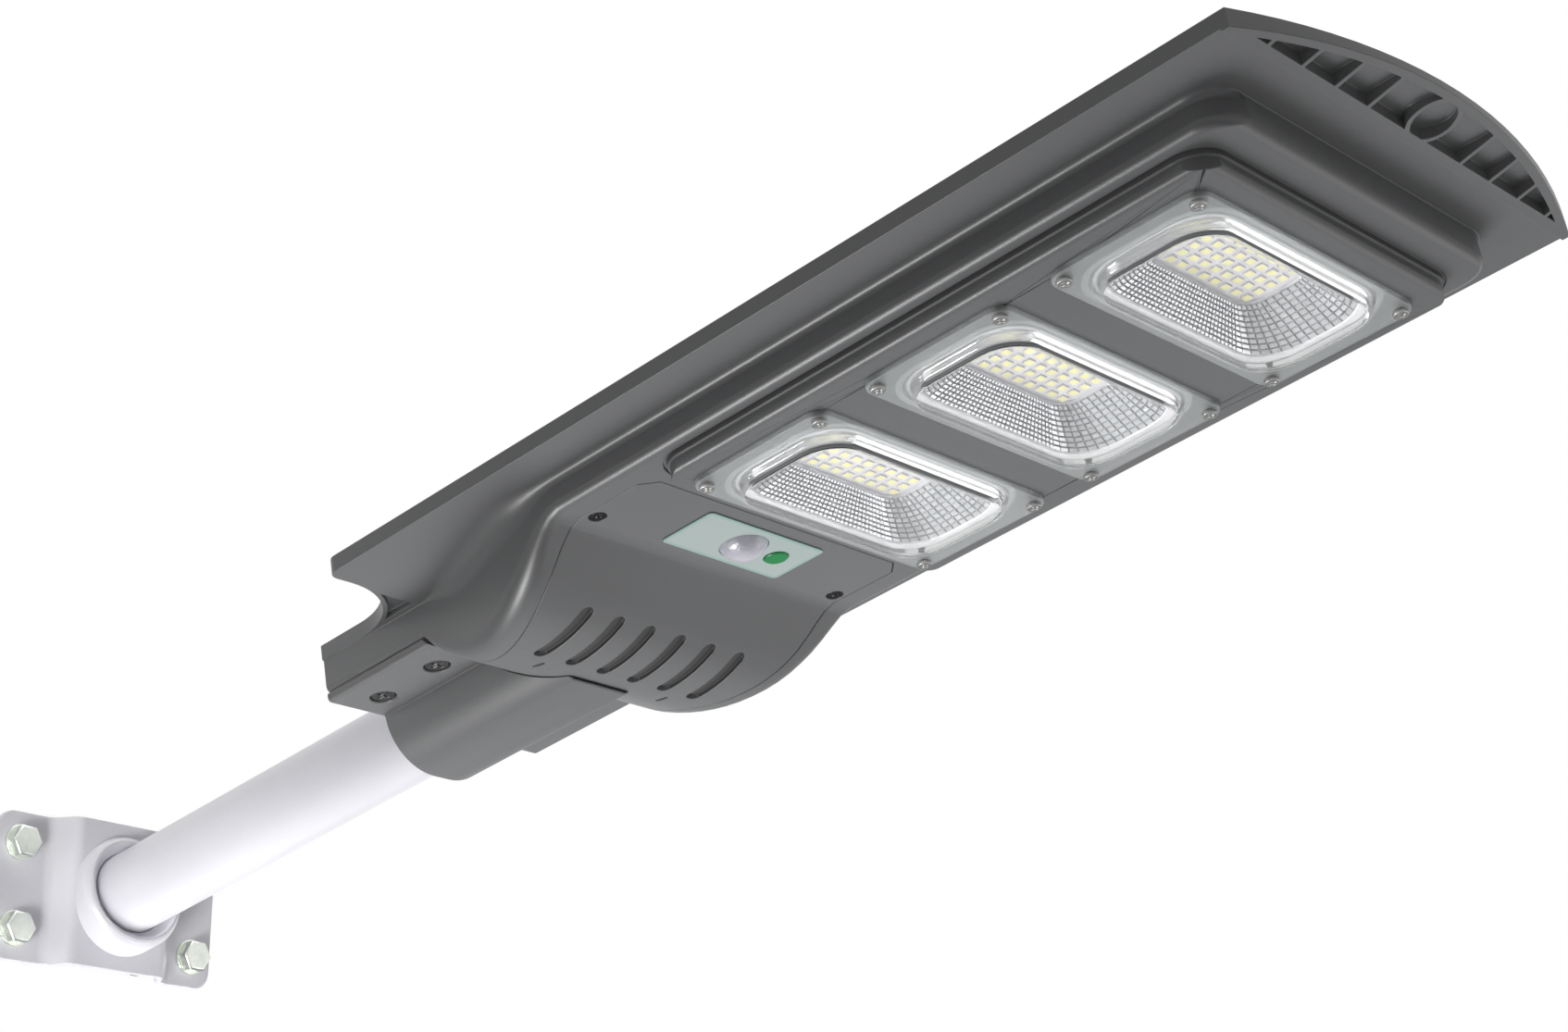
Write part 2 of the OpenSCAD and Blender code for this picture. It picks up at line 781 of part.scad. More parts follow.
module lower_clamp() {
    color(abs_grey) in_head() difference() {
        union() {
            difference() {
                union() {
                    along_head(block_rear, trough_front) trough_plan(trough_half, trough_z, trough_r);
                    along_head(block_rear, arm_end) trough_plan(block_half, flange_z, flange_edge);
                }
                translate([-over, 0, over])
                    along_head(block_rear, trough_front + 2 * over)
                        trough_plan(trough_half - trough_wall, trough_z + trough_wall - over, trough_r - trough_wall);
            }
            intersection() {
                along_head(block_rear, arm_end) trough_plan(trough_half - over, trough_z + over, trough_r - over);
                for (i = [0 : saddle_count - 1])
                    translate([block_rear + i * (arm_grip - saddle_t) / (saddle_count - 1), -trough_half, trough_z])
                        cube([saddle_t, 2 * trough_half, block_z - trough_z]);
            }
        }
        clamp_seat();
        trough_ramp();
        translate([block_rear - over, 0, arm_z]) rod(arm_r + run_fit, arm_grip + 2 * over);
        at_clamp_screws() translate([0, 0, flange_z - over]) {
            cylinder(d = clamp_screw_d + 2 * screw_slack, h = block_z + over);
            cylinder(d = clamp_head_d + 2 * well_slack, h = clamp_well + over);
        }
    }
}

module clamp_screws() {
    color(zinc) in_head() at_clamp_screws() translate([0, 0, flange_z + clamp_well])
        pan_screw(clamp_screw_d, clamp_head_d, clamp_head_h, clamp_screw_l);
}

// Solar panel

module panel_glass() {
    color("midnightblue", 0.5) in_head() panel_layer(rim_z - glass_t, glass_t);
}

module panel_cells() {
    size_x = (panel_front - panel_rear - 2 * cell_margin + cell_gap) / cells_x;
    size_y = (2 * (panel_half - cell_margin) + cell_gap) / cells_y;
    color("navy") in_head() translate([panel_rear + cell_margin, -panel_half + cell_margin, recess_z + sheet_t])
        for (i = [0 : cells_x - 1], j = [0 : cells_y - 1])
            translate([i * size_x, j * size_y, 0]) cube([size_x - cell_gap, size_y - cell_gap, cell_t]);
}

module panel_backsheet() {
    color("white") in_head() panel_layer(recess_z, sheet_t);
}

module panel_seal() {
    color("black") in_head() translate([0, 0, recess_z]) linear_extrude(rim_z - recess_z - over) difference() {
        panel_outline(seal_w - bond_gap);
        panel_outline(bond_gap);
    }
}

box_size = [24, 20, 3.5];
box_y = 32;
module junction_box() {
    color("black") in_head() translate([sensor_x, box_y, recess_z - box_size[2] / 2]) cube(box_size, center = true);
}

// LED modules

// Seal groove round the bowl, inside the screws
module gasket_plan(off) {
    inner_l = bowl_l + 2 * bowl_rim + 2;
    inner_w = bowl_w + 2 * bowl_rim + 2;
    difference() {
        round_rect(inner_w + 2 * gasket_w + 2 * off, inner_l + 2 * gasket_w + 2 * off, dome_corner + bowl_rim + gasket_w);
        round_rect(inner_w - 2 * off, inner_l - 2 * off, dome_corner + bowl_rim - off);
    }
}

module lens() {
    color(clear) difference() {
        union() {
            slab(lens_w, lens_l, lens_corner, -lens_t, 0);
            dome_form(0);
        }
        dome_form(lens_t);
        at_lens_screws() translate([0, 0, -lens_t - over])
            cylinder(d = lens_screw_d + 2 * screw_slack, h = lens_t + 2 * over);
    }
}

// Tapered dome under the flange, drawn inwards by off
module dome_form(off) {
    hull() {
        slab(dome_w - 2 * off, dome_l - 2 * off, dome_corner - off, -lens_t + off, off == 0 ? 0 : over, $fn = 32);
        slab(dome_w - 2 * off - 2 * dome_taper, dome_l - 2 * off - 2 * dome_taper, dome_corner - off - dome_taper,
            -dome_h + off, -lens_t + off, $fn = 32);
    }
}

module lens_gaskets() {
    color("black") in_head() at_modules() linear_extrude(gasket_t) gasket_plan(0);
}

module lens_screws() {
    color(zinc) in_head() at_modules() at_lens_screws() translate([0, 0, -lens_t])
        pan_screw(lens_screw_d, lens_head_d, lens_head_h, lens_t + tier_z - over);
}

// Flared bowl with a rim that lies in the deck's rebate
module bowl_form(off) {
    hull() {
        slab(bowl_w - 2 * off, bowl_l - 2 * off, dome_corner - off, 0, bowl_rim_t, $fn = 32);
        slab(base_w + 2 * bowl_wall - 2 * off, base_l + 2 * bowl_wall - 2 * off, base_corner + bowl_wall - off,
            bowl_h - bowl_rim_t, bowl_h, $fn = 32);
    }
}

module reflector() {
    color("gainsboro") difference() {
        union() {
            bowl_form(0);
            slab(bowl_w + 2 * bowl_rim, bowl_l + 2 * bowl_rim, dome_corner + bowl_rim, 0, bowl_rim_t);
        }
        bowl_form(bowl_wall);
        slab(bowl_w - 2 * bowl_wall, bowl_l - 2 * bowl_wall, dome_corner - bowl_wall, -over, bowl_rim_t / 2);
        slab(base_w, base_l, base_corner, bowl_h - bowl_rim_t - over, bowl_h + over);
    }
}

module led_board() {
    color("white") slab(base_w + 2 * bowl_wall + 2 * board_margin, base_l + 2 * bowl_wall + 2 * board_margin,
        base_corner, bowl_h, bowl_h + board_t);
}

module led_chips() {
    color("khaki") for (i = [0 : led_count_x - 1], j = [0 : led_count_y - 1])
        translate([(i - (led_count_x - 1) / 2) * led_pitch_x, (j - (led_count_y - 1) / 2) * led_pitch_y,
            bowl_h - led_size[2] / 2])
            cube(led_size, center = true);
}

module at_module(i) {
    in_head() translate([module_x[i], 0, 0]) children();
}

// Sensor and boards

module sensor_plate() {
    color("lightgray") in_head() difference() {
        translate([sensor_x, 0, tier_z - plate_size[2]]) linear_extrude(plate_size[2])
            round_rect(plate_size[0], plate_size[1], plate_round);
        translate([sensor_x, 0, tier_z - over]) cylinder(d = pir_d + 2 * bond_gap, h = 2 * over);
        translate([sensor_x, button_y, tier_z - over]) cylinder(d = button_d + 2 * move_gap, h = 2 * over);
    }
}

// Hemispherical Fresnel dome with its inner flange
module pir_lens() {
    dome_r = (pow(pir_d / 2, 2) + pow(pir_h, 2)) / (2 * pir_h);
    color("lavender") in_head() translate([sensor_x, 0, 0]) difference() {
        union() {
            intersection() {
                translate([0, 0, tier_z - pir_h + dome_r]) sphere(dome_r);
                translate([0, 0, tier_z - pir_d]) cylinder(d = pir_d, h = pir_d);
            }
            translate([0, 0, tier_z]) cylinder(d = pir_d, h = wall + pir_flange_t);
            translate([0, 0, cover_in]) cylinder(r = pir_d / 2 + pir_flange, h = pir_flange_t);
        }
        intersection() {
            translate([0, 0, tier_z - pir_h + dome_r]) sphere(dome_r - pir_wall);
            translate([0, 0, tier_z - pir_d]) cylinder(d = pir_d - 2 * pir_wall, h = pir_d + over);
        }
        translate([0, 0, tier_z]) cylinder(d = pir_d - 2 * pir_wall, h = wall + pir_flange_t + over);
    }
}

module pir_sensor() {
    color(zinc) in_head() translate([sensor_x, 0, board_z - pir_can_h]) cylinder(d = pir_can_d, h = pir_can_h);
}

module push_button() {
    cap_low = tier_z - plate_size[2] - button_proud;
    color("seagreen") in_head() translate([sensor_x, button_y, 0]) {
        translate([0, 0, cap_low]) cylinder(d = button_d, h = button_rest + button_flange_t - cap_low);
        translate([0, 0, button_rest]) cylinder(r = button_d / 2 + button_flange, h = button_flange_t);
    }
}

module button_switch() {
    color("black") in_head() translate([sensor_x, button_y, board_z - switch_h / 2])
        cube([switch_w, switch_w, switch_h], center = true);
}

module control_board() {
    color("darkgreen") in_head() translate([board_rear, -board_half, board_z])
        cube([board_front - board_rear, 2 * board_half, board_t]);
}

// Parts on the board: plugs for the LEDs and the battery, a choke and a chip
module board_parts() {
    top = board_z + board_t;
    color("black") in_head() {
        translate([board_front - connector[0], -connector[1] / 2, top]) cube(connector);
        translate([board_rear, -connector[1] / 2, top]) cube(connector);
        translate([choke_at[0], choke_at[1], top]) cylinder(d = choke_d, h = choke_h);
        translate([chip_at[0], chip_at[1], top]) cube(chip_size);
    }
}

// Battery

module battery_tray() {
    color("black") in_head() difference() {
        translate([tray_rear, -tray_half, tray_floor])
            cube([tray_front - tray_rear, 2 * tray_half, cell_z - tray_floor]);
        at_cells() translate([-cell_play, 0, 0]) rod(cell_d / 2 + cell_fit, cell_l + 2 * cell_play);
    }
}

module at_cells() {
    for (i = [0 : cell_count - 1])
        translate([tray_rear + tray_wall + cell_play, (i - (cell_count - 1) / 2) * cell_step, cell_z]) children();
}

module battery_cells() {
    color("steelblue") in_head() at_cells() rod(cell_d / 2, cell_l);
}

module battery_leads() {
    cell_end = tray_rear + tray_wall + cell_play + cell_l;
    color("firebrick") in_head() for (sy = [-1, 1])
        translate([cell_end + bond_gap, sy * connector[1] / 4, lead_z])
            rod(lead_r, board_rear - cell_end - 2 * bond_gap);
}

module panel_leads() {
    color("firebrick") in_head() for (s = [-1, 1])
        translate([sensor_x + 3 * s, box_y, board_z + board_t + bond_gap])
            cylinder(r = lead_r, h = recess_z - box_size[2] - board_z - board_t - 2 * bond_gap);
}

// Two leads from the board over the three LED boards, with a leg to each
module led_leads() {
    color("firebrick") in_head() for (sy = [-1, 1]) translate([0, sy * connector[1] / 4, 0]) {
        translate([board_front + bond_gap, 0, lead_z])
            rod(lead_r, module_pitch - board_front - bond_gap);
        for (x = module_x) translate([x, 0, bowl_h + board_t + bond_gap])
            cylinder(r = lead_r, h = lead_z - bowl_h - board_t - bond_gap);
    }
}

wall_plate();
arm_tube();
weld_collar();
wall_bolts();
bolt_washers();
main_housing();
rear_cover();
cover_screws();
lower_clamp();
clamp_screws();
panel_glass();
panel_cells();
panel_backsheet();
panel_seal();
junction_box();
at_module(0) lens();  // lens_rear
at_module(1) lens();  // lens_middle
at_module(2) lens();  // lens_front
lens_gaskets();
lens_screws();
at_module(0) reflector();  // reflector_rear
at_module(1) reflector();  // reflector_middle
at_module(2) reflector();  // reflector_front
at_module(0) led_board();  // led_board_rear
at_module(1) led_board();  // led_board_middle
at_module(2) led_board();  // led_board_front
at_module(0) led_chips();  // led_chips_rear
at_module(1) led_chips();  // led_chips_middle
at_module(2) led_chips();  // led_chips_front
sensor_plate();
pir_lens();
pir_sensor();
push_button();
button_switch();
control_board();
board_parts();
battery_tray();
battery_cells();
battery_leads();
panel_leads();
led_leads();
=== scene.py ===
# %% [markdown]
# A solar street lamp on a wall arm, dressed for the camera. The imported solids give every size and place.
# This script softens their edges, rebuilds what shows most as finer meshes, and gives each piece its
# finish.

# %% Load the frame
import json
import math

import bmesh
import bpy
from mathutils import Matrix, Vector


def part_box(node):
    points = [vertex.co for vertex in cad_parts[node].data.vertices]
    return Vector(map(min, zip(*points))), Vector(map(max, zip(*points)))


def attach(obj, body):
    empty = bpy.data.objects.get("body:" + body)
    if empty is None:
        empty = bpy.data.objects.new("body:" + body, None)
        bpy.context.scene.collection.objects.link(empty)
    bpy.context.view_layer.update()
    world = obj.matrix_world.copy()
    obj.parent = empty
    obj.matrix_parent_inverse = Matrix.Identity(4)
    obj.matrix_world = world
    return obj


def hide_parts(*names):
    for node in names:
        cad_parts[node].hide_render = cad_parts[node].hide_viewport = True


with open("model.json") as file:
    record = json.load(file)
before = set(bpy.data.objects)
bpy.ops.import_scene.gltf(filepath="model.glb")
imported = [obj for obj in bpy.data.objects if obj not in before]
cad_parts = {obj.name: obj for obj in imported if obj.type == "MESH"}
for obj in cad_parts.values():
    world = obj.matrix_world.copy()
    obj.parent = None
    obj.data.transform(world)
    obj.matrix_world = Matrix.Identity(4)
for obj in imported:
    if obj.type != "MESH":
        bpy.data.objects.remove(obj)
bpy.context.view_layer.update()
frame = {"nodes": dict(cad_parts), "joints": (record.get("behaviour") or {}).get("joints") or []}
scene = bpy.context.scene
nodes = frame["nodes"]
mm = 0.001

# %% [markdown]
# The lamp's head is tilted with its arm, so sizes read along the world's axes mean little. The two joints
# say how the head lies: one turns about the arm, the other slides along the head's own upward axis. With
# matrices made of these axes every piece can be modelled level, and is tilted into place at the end. The
# head's own origin is the middle of the deck that carries the lenses.

# %% The arm's and the head's own frames
joints = {joint["name"]: joint for joint in frame["joints"]}
along_arm = Vector(joints["head_roll"]["axis"]).normalized()
head_up = Vector(joints["button_press"]["axis"]).normalized()
head_left = head_up.cross(along_arm)
arm = Matrix((along_arm, head_left, head_up)).transposed().to_4x4()
arm.translation = Vector(joints["head_roll"]["pos_m"])


def reach(node, around):
    """Lowest and highest corner of a node, measured along a frame's own axes."""
    level = around.inverted()
    points = [level @ vertex.co for vertex in nodes[node].data.vertices]
    low = Vector([min(p[i] for p in points) for i in range(3)])
    high = Vector([max(p[i] for p in points) for i in range(3)])
    return low, high


lens_low, lens_high = reach("lens_middle", arm)
head = arm @ Matrix.Translation(((lens_low.x + lens_high.x) / 2, 0, lens_high.z))


def at_node(node):
    """The head's frame, moved along it to the middle of a node."""
    low, high = reach(node, head)
    return head @ Matrix.Translation(((low.x + high.x) / 2, 0, 0))


print("deck's middle is at", [round(v / mm, 1) for v in head.translation], "mm")

# %% [markdown]
# The camera stands in front of the lamp, to its right and below it, and looks up. Its lens is a short
# telephoto. The picture is level, so aiming the camera at a point is enough and no roll is needed.

# %% Camera
camera_place = Vector((1.1345, -0.8026, -0.2707))
camera_aim = Vector((0.4364, -0.0274, 0.0783))
camera_data = bpy.data.cameras.new("camera")
camera_data.lens = 70.13
camera_data.sensor_width = 36
camera_data.sensor_fit = "HORIZONTAL"
camera = bpy.data.objects.new("camera", camera_data)
camera.location = camera_place
camera.rotation_euler = (camera_aim - camera_place).to_track_quat("-Z", "Y").to_euler()
scene.collection.objects.link(camera)
scene.camera = camera
print("camera is", round((camera_aim - camera_place).length, 2), "m from what it aims at")

# %% [markdown]
# Soft studio light, made of panels that each have one job. The main panel lies below the lamp, on the far
# side of it, and lights matt surfaces only: undersides are bright and the walls that face the camera stay
# dark. Two small near panels show only in mirrors, where rounded edges draw them out into bright lines,
# and a large one beyond the nose shows only in the reflectors. The white arm and its plate have their own
# panels of narrow spread, with a small one for the stripe along the tube. A panel above lights the solar
# panel, and a soft sun the floor.

# %% Light
scene.view_settings.view_transform = "Standard"


def add_panel(name, place, aim, size, watts, spread=180, diffuse=True, glossy=True):
    """A square soft light, which can be kept out of mirrors or away from matt surfaces."""
    data = bpy.data.lights.new(name, "AREA")
    data.shape = "SQUARE"
    data.size = size
    data.energy = watts
    data.spread = math.radians(spread)
    lamp = bpy.data.objects.new(name, data)
    lamp.location = place
    lamp.rotation_euler = (Vector(aim) - Vector(place)).to_track_quat("-Z", "Y").to_euler()
    lamp.visible_camera = False
    lamp.visible_diffuse = diffuse
    lamp.visible_glossy = glossy
    lamp.visible_transmission = glossy
    scene.collection.objects.link(lamp)


head_middle = (0.45, 0.0, 0.08)
head_front = (0.62, 0.0, 0.115)
arm_middle = (0.10, 0.0, 0.02)
plate_middle = (0.01, 0.0, 0.0)
for_edges = {"size": 0.12, "diffuse": False}
add_panel("panel_below", place=(0.0, 0.52, -0.84), aim=head_middle, size=0.7, watts=11.5, glossy=False)
add_panel("panel_edges_rear", place=(0.117, -0.374, -0.589), aim=head_middle, watts=3.2, **for_edges)
add_panel("panel_edges_front", place=(0.287, -0.374, -0.554), aim=head_front, watts=5, **for_edges)
add_panel("panel_bowls", place=(1.12, 0.85, -0.42), aim=head_middle, size=0.8, watts=3.4, diffuse=False)
add_panel("panel_arm", place=(-0.05, -0.80, -0.10), aim=arm_middle, size=0.4, watts=0.16, spread=50)
add_panel("panel_plate", place=(0.38, -0.55, -0.33), aim=plate_middle, size=0.2, watts=0.17, spread=40)
add_panel("panel_stripe", place=(-0.19, -0.49, -0.358), aim=arm_middle, size=0.06, watts=0.12)
add_panel("panel_sky", place=(0.3, 0.4, 1.4), aim=head_middle, size=1.2, watts=8)

sun_data = bpy.data.lights.new("overhead", "SUN")
sun_data.energy = 0.6
sun_data.angle = math.radians(40)
scene.collection.objects.link(bpy.data.objects.new("overhead", sun_data))

# %% [markdown]
# The world round the lamp is a white studio. It adds only a weak glow to matt surfaces, so that the
# panels shape them, but it shows itself white to the camera and to whatever mirrors or transmits it. A
# Light Path node tells these rays apart.

# %% World
world = bpy.data.worlds.new("studio")
world.use_nodes = True
scene.world = world
wires = world.node_tree
glow = wires.nodes["Background"]
rays = wires.nodes.new("ShaderNodeLightPath")
mirrored = wires.nodes.new("ShaderNodeMath")
mirrored.operation = "MAXIMUM"
seen = wires.nodes.new("ShaderNodeMath")
seen.operation = "MAXIMUM"
white = wires.nodes.new("ShaderNodeBackground")
either = wires.nodes.new("ShaderNodeMixShader")
glow.inputs["Color"].default_value = (0.97, 0.98, 1, 1)
glow.inputs["Strength"].default_value = 0.1
white.inputs["Color"].default_value = (1, 1, 1, 1)
wires.links.new(rays.outputs["Is Glossy Ray"], mirrored.inputs[0])
wires.links.new(rays.outputs["Is Transmission Ray"], mirrored.inputs[1])
wires.links.new(rays.outputs["Is Camera Ray"], seen.inputs[0])
wires.links.new(mirrored.outputs[0], seen.inputs[1])
wires.links.new(seen.outputs[0], either.inputs["Fac"])
wires.links.new(glow.outputs[0], either.inputs[1])
wires.links.new(white.outputs[0], either.inputs[2])
wires.links.new(either.outputs[0], wires.nodes["World Output"].inputs["Surface"])
print("world has", len(wires.nodes), "nodes")

# %% [markdown]
# Finishes are written as sums. One small class wraps a node's output, so that adding or multiplying two
# of them adds a Math node, and one method makes any other node. Patterns read Object coordinates, which
# are the row's metres, because every piece keeps its place in its mesh. A Mapping node turns them into
# the head's own frame.

# %% Shader sums


class Value:
    """An output of a node, ready for arithmetic."""

    def __init__(self, finish, socket):
        self.finish = finish
        self.socket = socket

    def join(self, operation, a, b):
        return self.finish.node("ShaderNodeMath", {"operation": operation}, {0: a, 1: b})

    def __add__(self, other):
        return self.join("ADD", self, other)

    def __sub__(self, other):
        return self.join("SUBTRACT", self, other)

    def __rsub__(self, other):
        return self.join("SUBTRACT", other, self)

    def __mul__(self, other):
        return self.join("MULTIPLY", self, other)

    def __gt__(self, other):
        return self.join("GREATER_THAN", self, other)

    def __lt__(self, other):
        return self.join("LESS_THAN", self, other)

    def highest(self, other):
        return self.join("MAXIMUM", self, other)

    def size(self):
        return self.join("ABSOLUTE", self, 0)

    def off_line(self, step):
        """Distance to the nearest of evenly spaced lines."""
        return (self.join("FLOORED_MODULO", self, step) - step / 2).size()

    __radd__ = __add__
    __rmul__ = __mul__


class Finish:
    """A material built on one Principled shader."""

    def __init__(self, name, **constants):
        self.material = bpy.data.materials.new(name)
        self.material.use_nodes = True
        self.tree = self.material.node_tree
        self.shader = self.tree.nodes["Principled BSDF"]
        self.set(constants)

    def set(self, sockets):
        for name, value in sockets.items():
            self.plug(self.shader.inputs[name.replace("_", " ")], value)

    def plug(self, socket, value):
        if isinstance(value, Value):
            self.tree.links.new(value.socket, socket)
        elif socket.type == "RGBA":
            socket.default_value = (*value, 1)
        else:
            socket.default_value = value

    def node(self, kind, settings=None, values=None, out=0):
        made = self.tree.nodes.new(kind)
        for name, value in (settings or {}).items():
            setattr(made, name, value)
        for name, value in (values or {}).items():
            self.plug(made.inputs[name], value)
        return Value(self, made.outputs[out])

    def here(self):
        return self.node("ShaderNodeTexCoord", out="Object")

    def in_head(self):
        """The head's own x, y and z."""
        level = head.inverted()
        turn = {"Vector": self.here(), "Rotation": level.to_euler(), "Location": level.translation}
        parts = self.node("ShaderNodeSeparateXYZ", {}, {0: self.node("ShaderNodeMapping", {}, turn)})
        return [Value(self, parts.socket.node.outputs[i]) for i in range(3)]

    def noise(self, scale, detail=3):
        return self.node("ShaderNodeTexNoise", {}, {"Vector": self.here(), "Scale": scale, "Detail": detail})

    def blend(self, amount, low, high):
        """From one colour to another by an amount."""
        return self.node("ShaderNodeMix", {"data_type": "RGBA"}, {0: amount, 6: low, 7: high}, out=2)

    def bump(self, height, distance):
        self.set({"Normal": self.node("ShaderNodeBump", {}, {"Height": height, "Distance": distance})})


print("Value and Finish are ready")

# %% [markdown]
# The head's shells are moulded in a dark grey plastic. Such a mould is spark eroded, which leaves a fine
# even grain. The colour drifts a little, and the gloss with it, so that broad faces don't look painted.

# %% Grey shell finish
shell = Finish("grey_shell", IOR=1.5, Specular_IOR_Level=0.4)
drift = shell.noise(9, 2)
grain = shell.noise(1900, 2)
shell.set({
    "Base_Color": shell.blend(drift, (0.170, 0.172, 0.176), (0.196, 0.198, 0.202)),
    "Roughness": 0.34 + 0.08 * drift + 0.06 * grain,
})
shell.bump(grain, 0.05 * mm)
print("grey shell:", len(shell.tree.nodes), "nodes")

# %% [markdown]
# The bracket is powder coated. The coat flows before it sets, which leaves a soft orange peel, here a
# bump about a millimetre across. The white has a cool, faintly violet cast.

# %% White coat finish
coat = Finish("white_coat", IOR=1.5, Coat_Weight=0.15, Coat_Roughness=0.15)
peel = coat.noise(700, 2)
cast = coat.noise(14, 2)
coat.set({
    "Base_Color": coat.blend(cast, (0.76, 0.75, 0.80), (0.82, 0.81, 0.85)),
    "Roughness": 0.26 + 0.1 * cast,
})
coat.bump(peel, 0.08 * mm)
print("white coat:", len(coat.tree.nodes), "nodes")

# %% [markdown]
# Bolts are bright zinc with a greenish passivation. The lens screws are plain stainless and those of the
# rear cover blackened. The clamp's screws are silver steel in deep wells, and their dark grey is painted
# shade for these wells. All of these are full metals, and only their tint, their roughness and fine marks
# differ. The reflectors are plastic with a vapour-deposited mirror.
# To the shader they are part metal and part white, so that they stay pale where they mirror something
# dark, and the joints between their cells are greyer and less metallic still.

# %% Metal finishes


def metal(name, dark, bright, rough):
    """A bare or plated metal with a cloudy tint and fine marks."""
    made = Finish(name, Metallic=1)
    cloud = made.noise(260, 3)
    marks = made.noise(3200, 1)
    made.set({
        "Base_Color": made.blend(cloud, dark, bright),
        "Roughness": rough + 0.12 * cloud + 0.05 * marks,
    })
    made.bump(marks, 0.03 * mm)
    return made


zinc = metal("zinc_steel", (0.62, 0.66, 0.60), (0.80, 0.83, 0.77), 0.14)
steel = metal("screw_steel", (0.40, 0.40, 0.39), (0.54, 0.54, 0.53), 0.36)
# Dark grey steel for the clamp screws: painted shade for the deep wells they sit in.
painted_shade_steel = metal("painted_shade_steel", (0.12, 0.12, 0.12), (0.20, 0.20, 0.20), 0.36)
black_steel = metal("black_steel", (0.03, 0.03, 0.032), (0.07, 0.07, 0.074), 0.3)
mirror = metal("reflector", (0.86, 0.87, 0.88), (0.95, 0.96, 0.97), 0.16)
mirror.set({"Metallic": 0.6})
mirror_gap = metal("reflector_gap", (0.40, 0.41, 0.43), (0.50, 0.51, 0.53), 0.2)
mirror_gap.set({"Metallic": 0.3})
metals = (zinc, steel, painted_shade_steel, black_steel, mirror, mirror_gap)
print("metals:", [made.material.name for made in metals])

# %% [markdown]
# Plain plastics, rubbers and films share a recipe: a colour that drifts slightly, and a grain that is
# fine and shallow for films, coarser for rubber.

# %% Plastics, rubbers and films


def plastic(name, dark, bright, rough, grain_scale=1400, grain_depth=0.03 * mm, **constants):
    """A moulded or coated surface with a slight drift of colour and a grain."""
    made = Finish(name, IOR=1.5, **constants)
    drift = made.noise(22, 2)
    grain = made.noise(grain_scale, 2)
    made.set({
        "Base_Color": made.blend(drift, dark, bright),
        "Roughness": rough + 0.08 * drift + 0.06 * grain,
    })
    made.bump(grain, grain_depth)
    return made


board_white = plastic("led_board", (0.72, 0.71, 0.74), (0.78, 0.77, 0.80), 0.4)
phosphor = plastic("led_chip", (0.86, 0.83, 0.42), (0.90, 0.88, 0.52), 0.3)
green = plastic("green_button", (0.012, 0.24, 0.065), (0.018, 0.30, 0.085), 0.28)
black_plastic = plastic("black_plastic", (0.026, 0.026, 0.028), (0.034, 0.034, 0.036), 0.4)
black_rubber = plastic("black_rubber", (0.025, 0.025, 0.025), (0.035, 0.035, 0.035), 0.55, 900, 0.06 * mm)
# Painted shade for the floors of the belly's grooves, which lie in shadow.
painted_groove_shade = plastic("painted_groove_shade", (0.06, 0.06, 0.062), (0.08, 0.08, 0.082), 0.6)
pale_rubber = plastic("pale_rubber", (0.58, 0.60, 0.60), (0.65, 0.67, 0.67), 0.45, 900, 0.06 * mm)
white_sheet = plastic("white_sheet", (0.82, 0.82, 0.84), (0.87, 0.87, 0.88), 0.4)
circuit_green = plastic("circuit_board", (0.015, 0.13, 0.05), (0.025, 0.19, 0.07), 0.3)
battery_blue = plastic("battery_wrap", (0.10, 0.22, 0.50), (0.14, 0.28, 0.60), 0.25)
lead_red = plastic("lead_jacket", (0.44, 0.03, 0.025), (0.55, 0.05, 0.035), 0.4)
pale = plastic("pale_floor", (0.83, 0.83, 0.84), (0.86, 0.86, 0.86), 0.8, 60, 0.1 * mm)
print("plastics are ready")

# %% [markdown]
# Clear plastic. The dome is polished acrylic. Light has to reach what lies behind it, so the material
# lets shadow rays straight through. The flange is frosted by the mould: partly see-through, with a milky
# surface. The dome's shoulder has a thinner haze and little shine. The solar panel's glass is clear with
# a faint tint.

# %% Lens finishes


def let_shadows_through(finish):
    """Mixes in a transparent shader for shadow rays only."""
    rays = finish.node("ShaderNodeLightPath", out="Is Shadow Ray")
    through = finish.node("ShaderNodeBsdfTransparent")
    surface = Value(finish, finish.shader.outputs[0])
    both = finish.node("ShaderNodeMixShader", {}, {0: rays, 1: surface, 2: through})
    finish.tree.links.new(both.socket, finish.tree.nodes["Material Output"].inputs["Surface"])


clear = Finish("clear_lens", Base_Color=(1, 1, 1), IOR=1.49, Transmission_Weight=1)
clear.set({"Roughness": 0.02 + 0.02 * clear.noise(60, 2)})
let_shadows_through(clear)
satin = plastic("satin_rim", (0.84, 0.86, 0.87), (0.90, 0.92, 0.93), 0.3, Specular_IOR_Level=0.1)
satin.set({"Alpha": 0.22 + 0.14 * satin.noise(40, 2)})
frosted = plastic("frosted_flange", (0.70, 0.73, 0.73), (0.78, 0.81, 0.81), 0.24)
frosted.set({"Alpha": 0.30 + 0.1 * frosted.noise(40, 2)})
panel_glass = Finish("panel_glass", Base_Color=(0.97, 0.99, 1), IOR=1.5, Transmission_Weight=1)
panel_glass.set({"Roughness": 0.03 + 0.03 * panel_glass.noise(30, 2)})
let_shadows_through(panel_glass)
print("clear finishes are ready")

# %% [markdown]
# The sensor's dome is milky polyethylene with fine lens cells moulded inside, which show as a faint
# pebble. The plate round it is a film with a greener border, which is drawn by distance from the plate's
# middle in the head's own frame and replaces the plain tint.

# %% Sensor finishes
milky = Finish("sensor_dome", IOR=1.5, Coat_Weight=0.5, Coat_Roughness=0.08)
pebble = {"Vector": milky.here(), "Scale": 420}
cell = milky.node("ShaderNodeTexVoronoi", {"feature": "DISTANCE_TO_EDGE"}, pebble)
milky.set({
    "Base_Color": milky.blend(milky.noise(60, 2), (0.62, 0.61, 0.70), (0.72, 0.71, 0.78)),
    "Roughness": 0.3 + 0.1 * milky.noise(300, 2),
})
milky.bump(cell, 0.2 * mm)

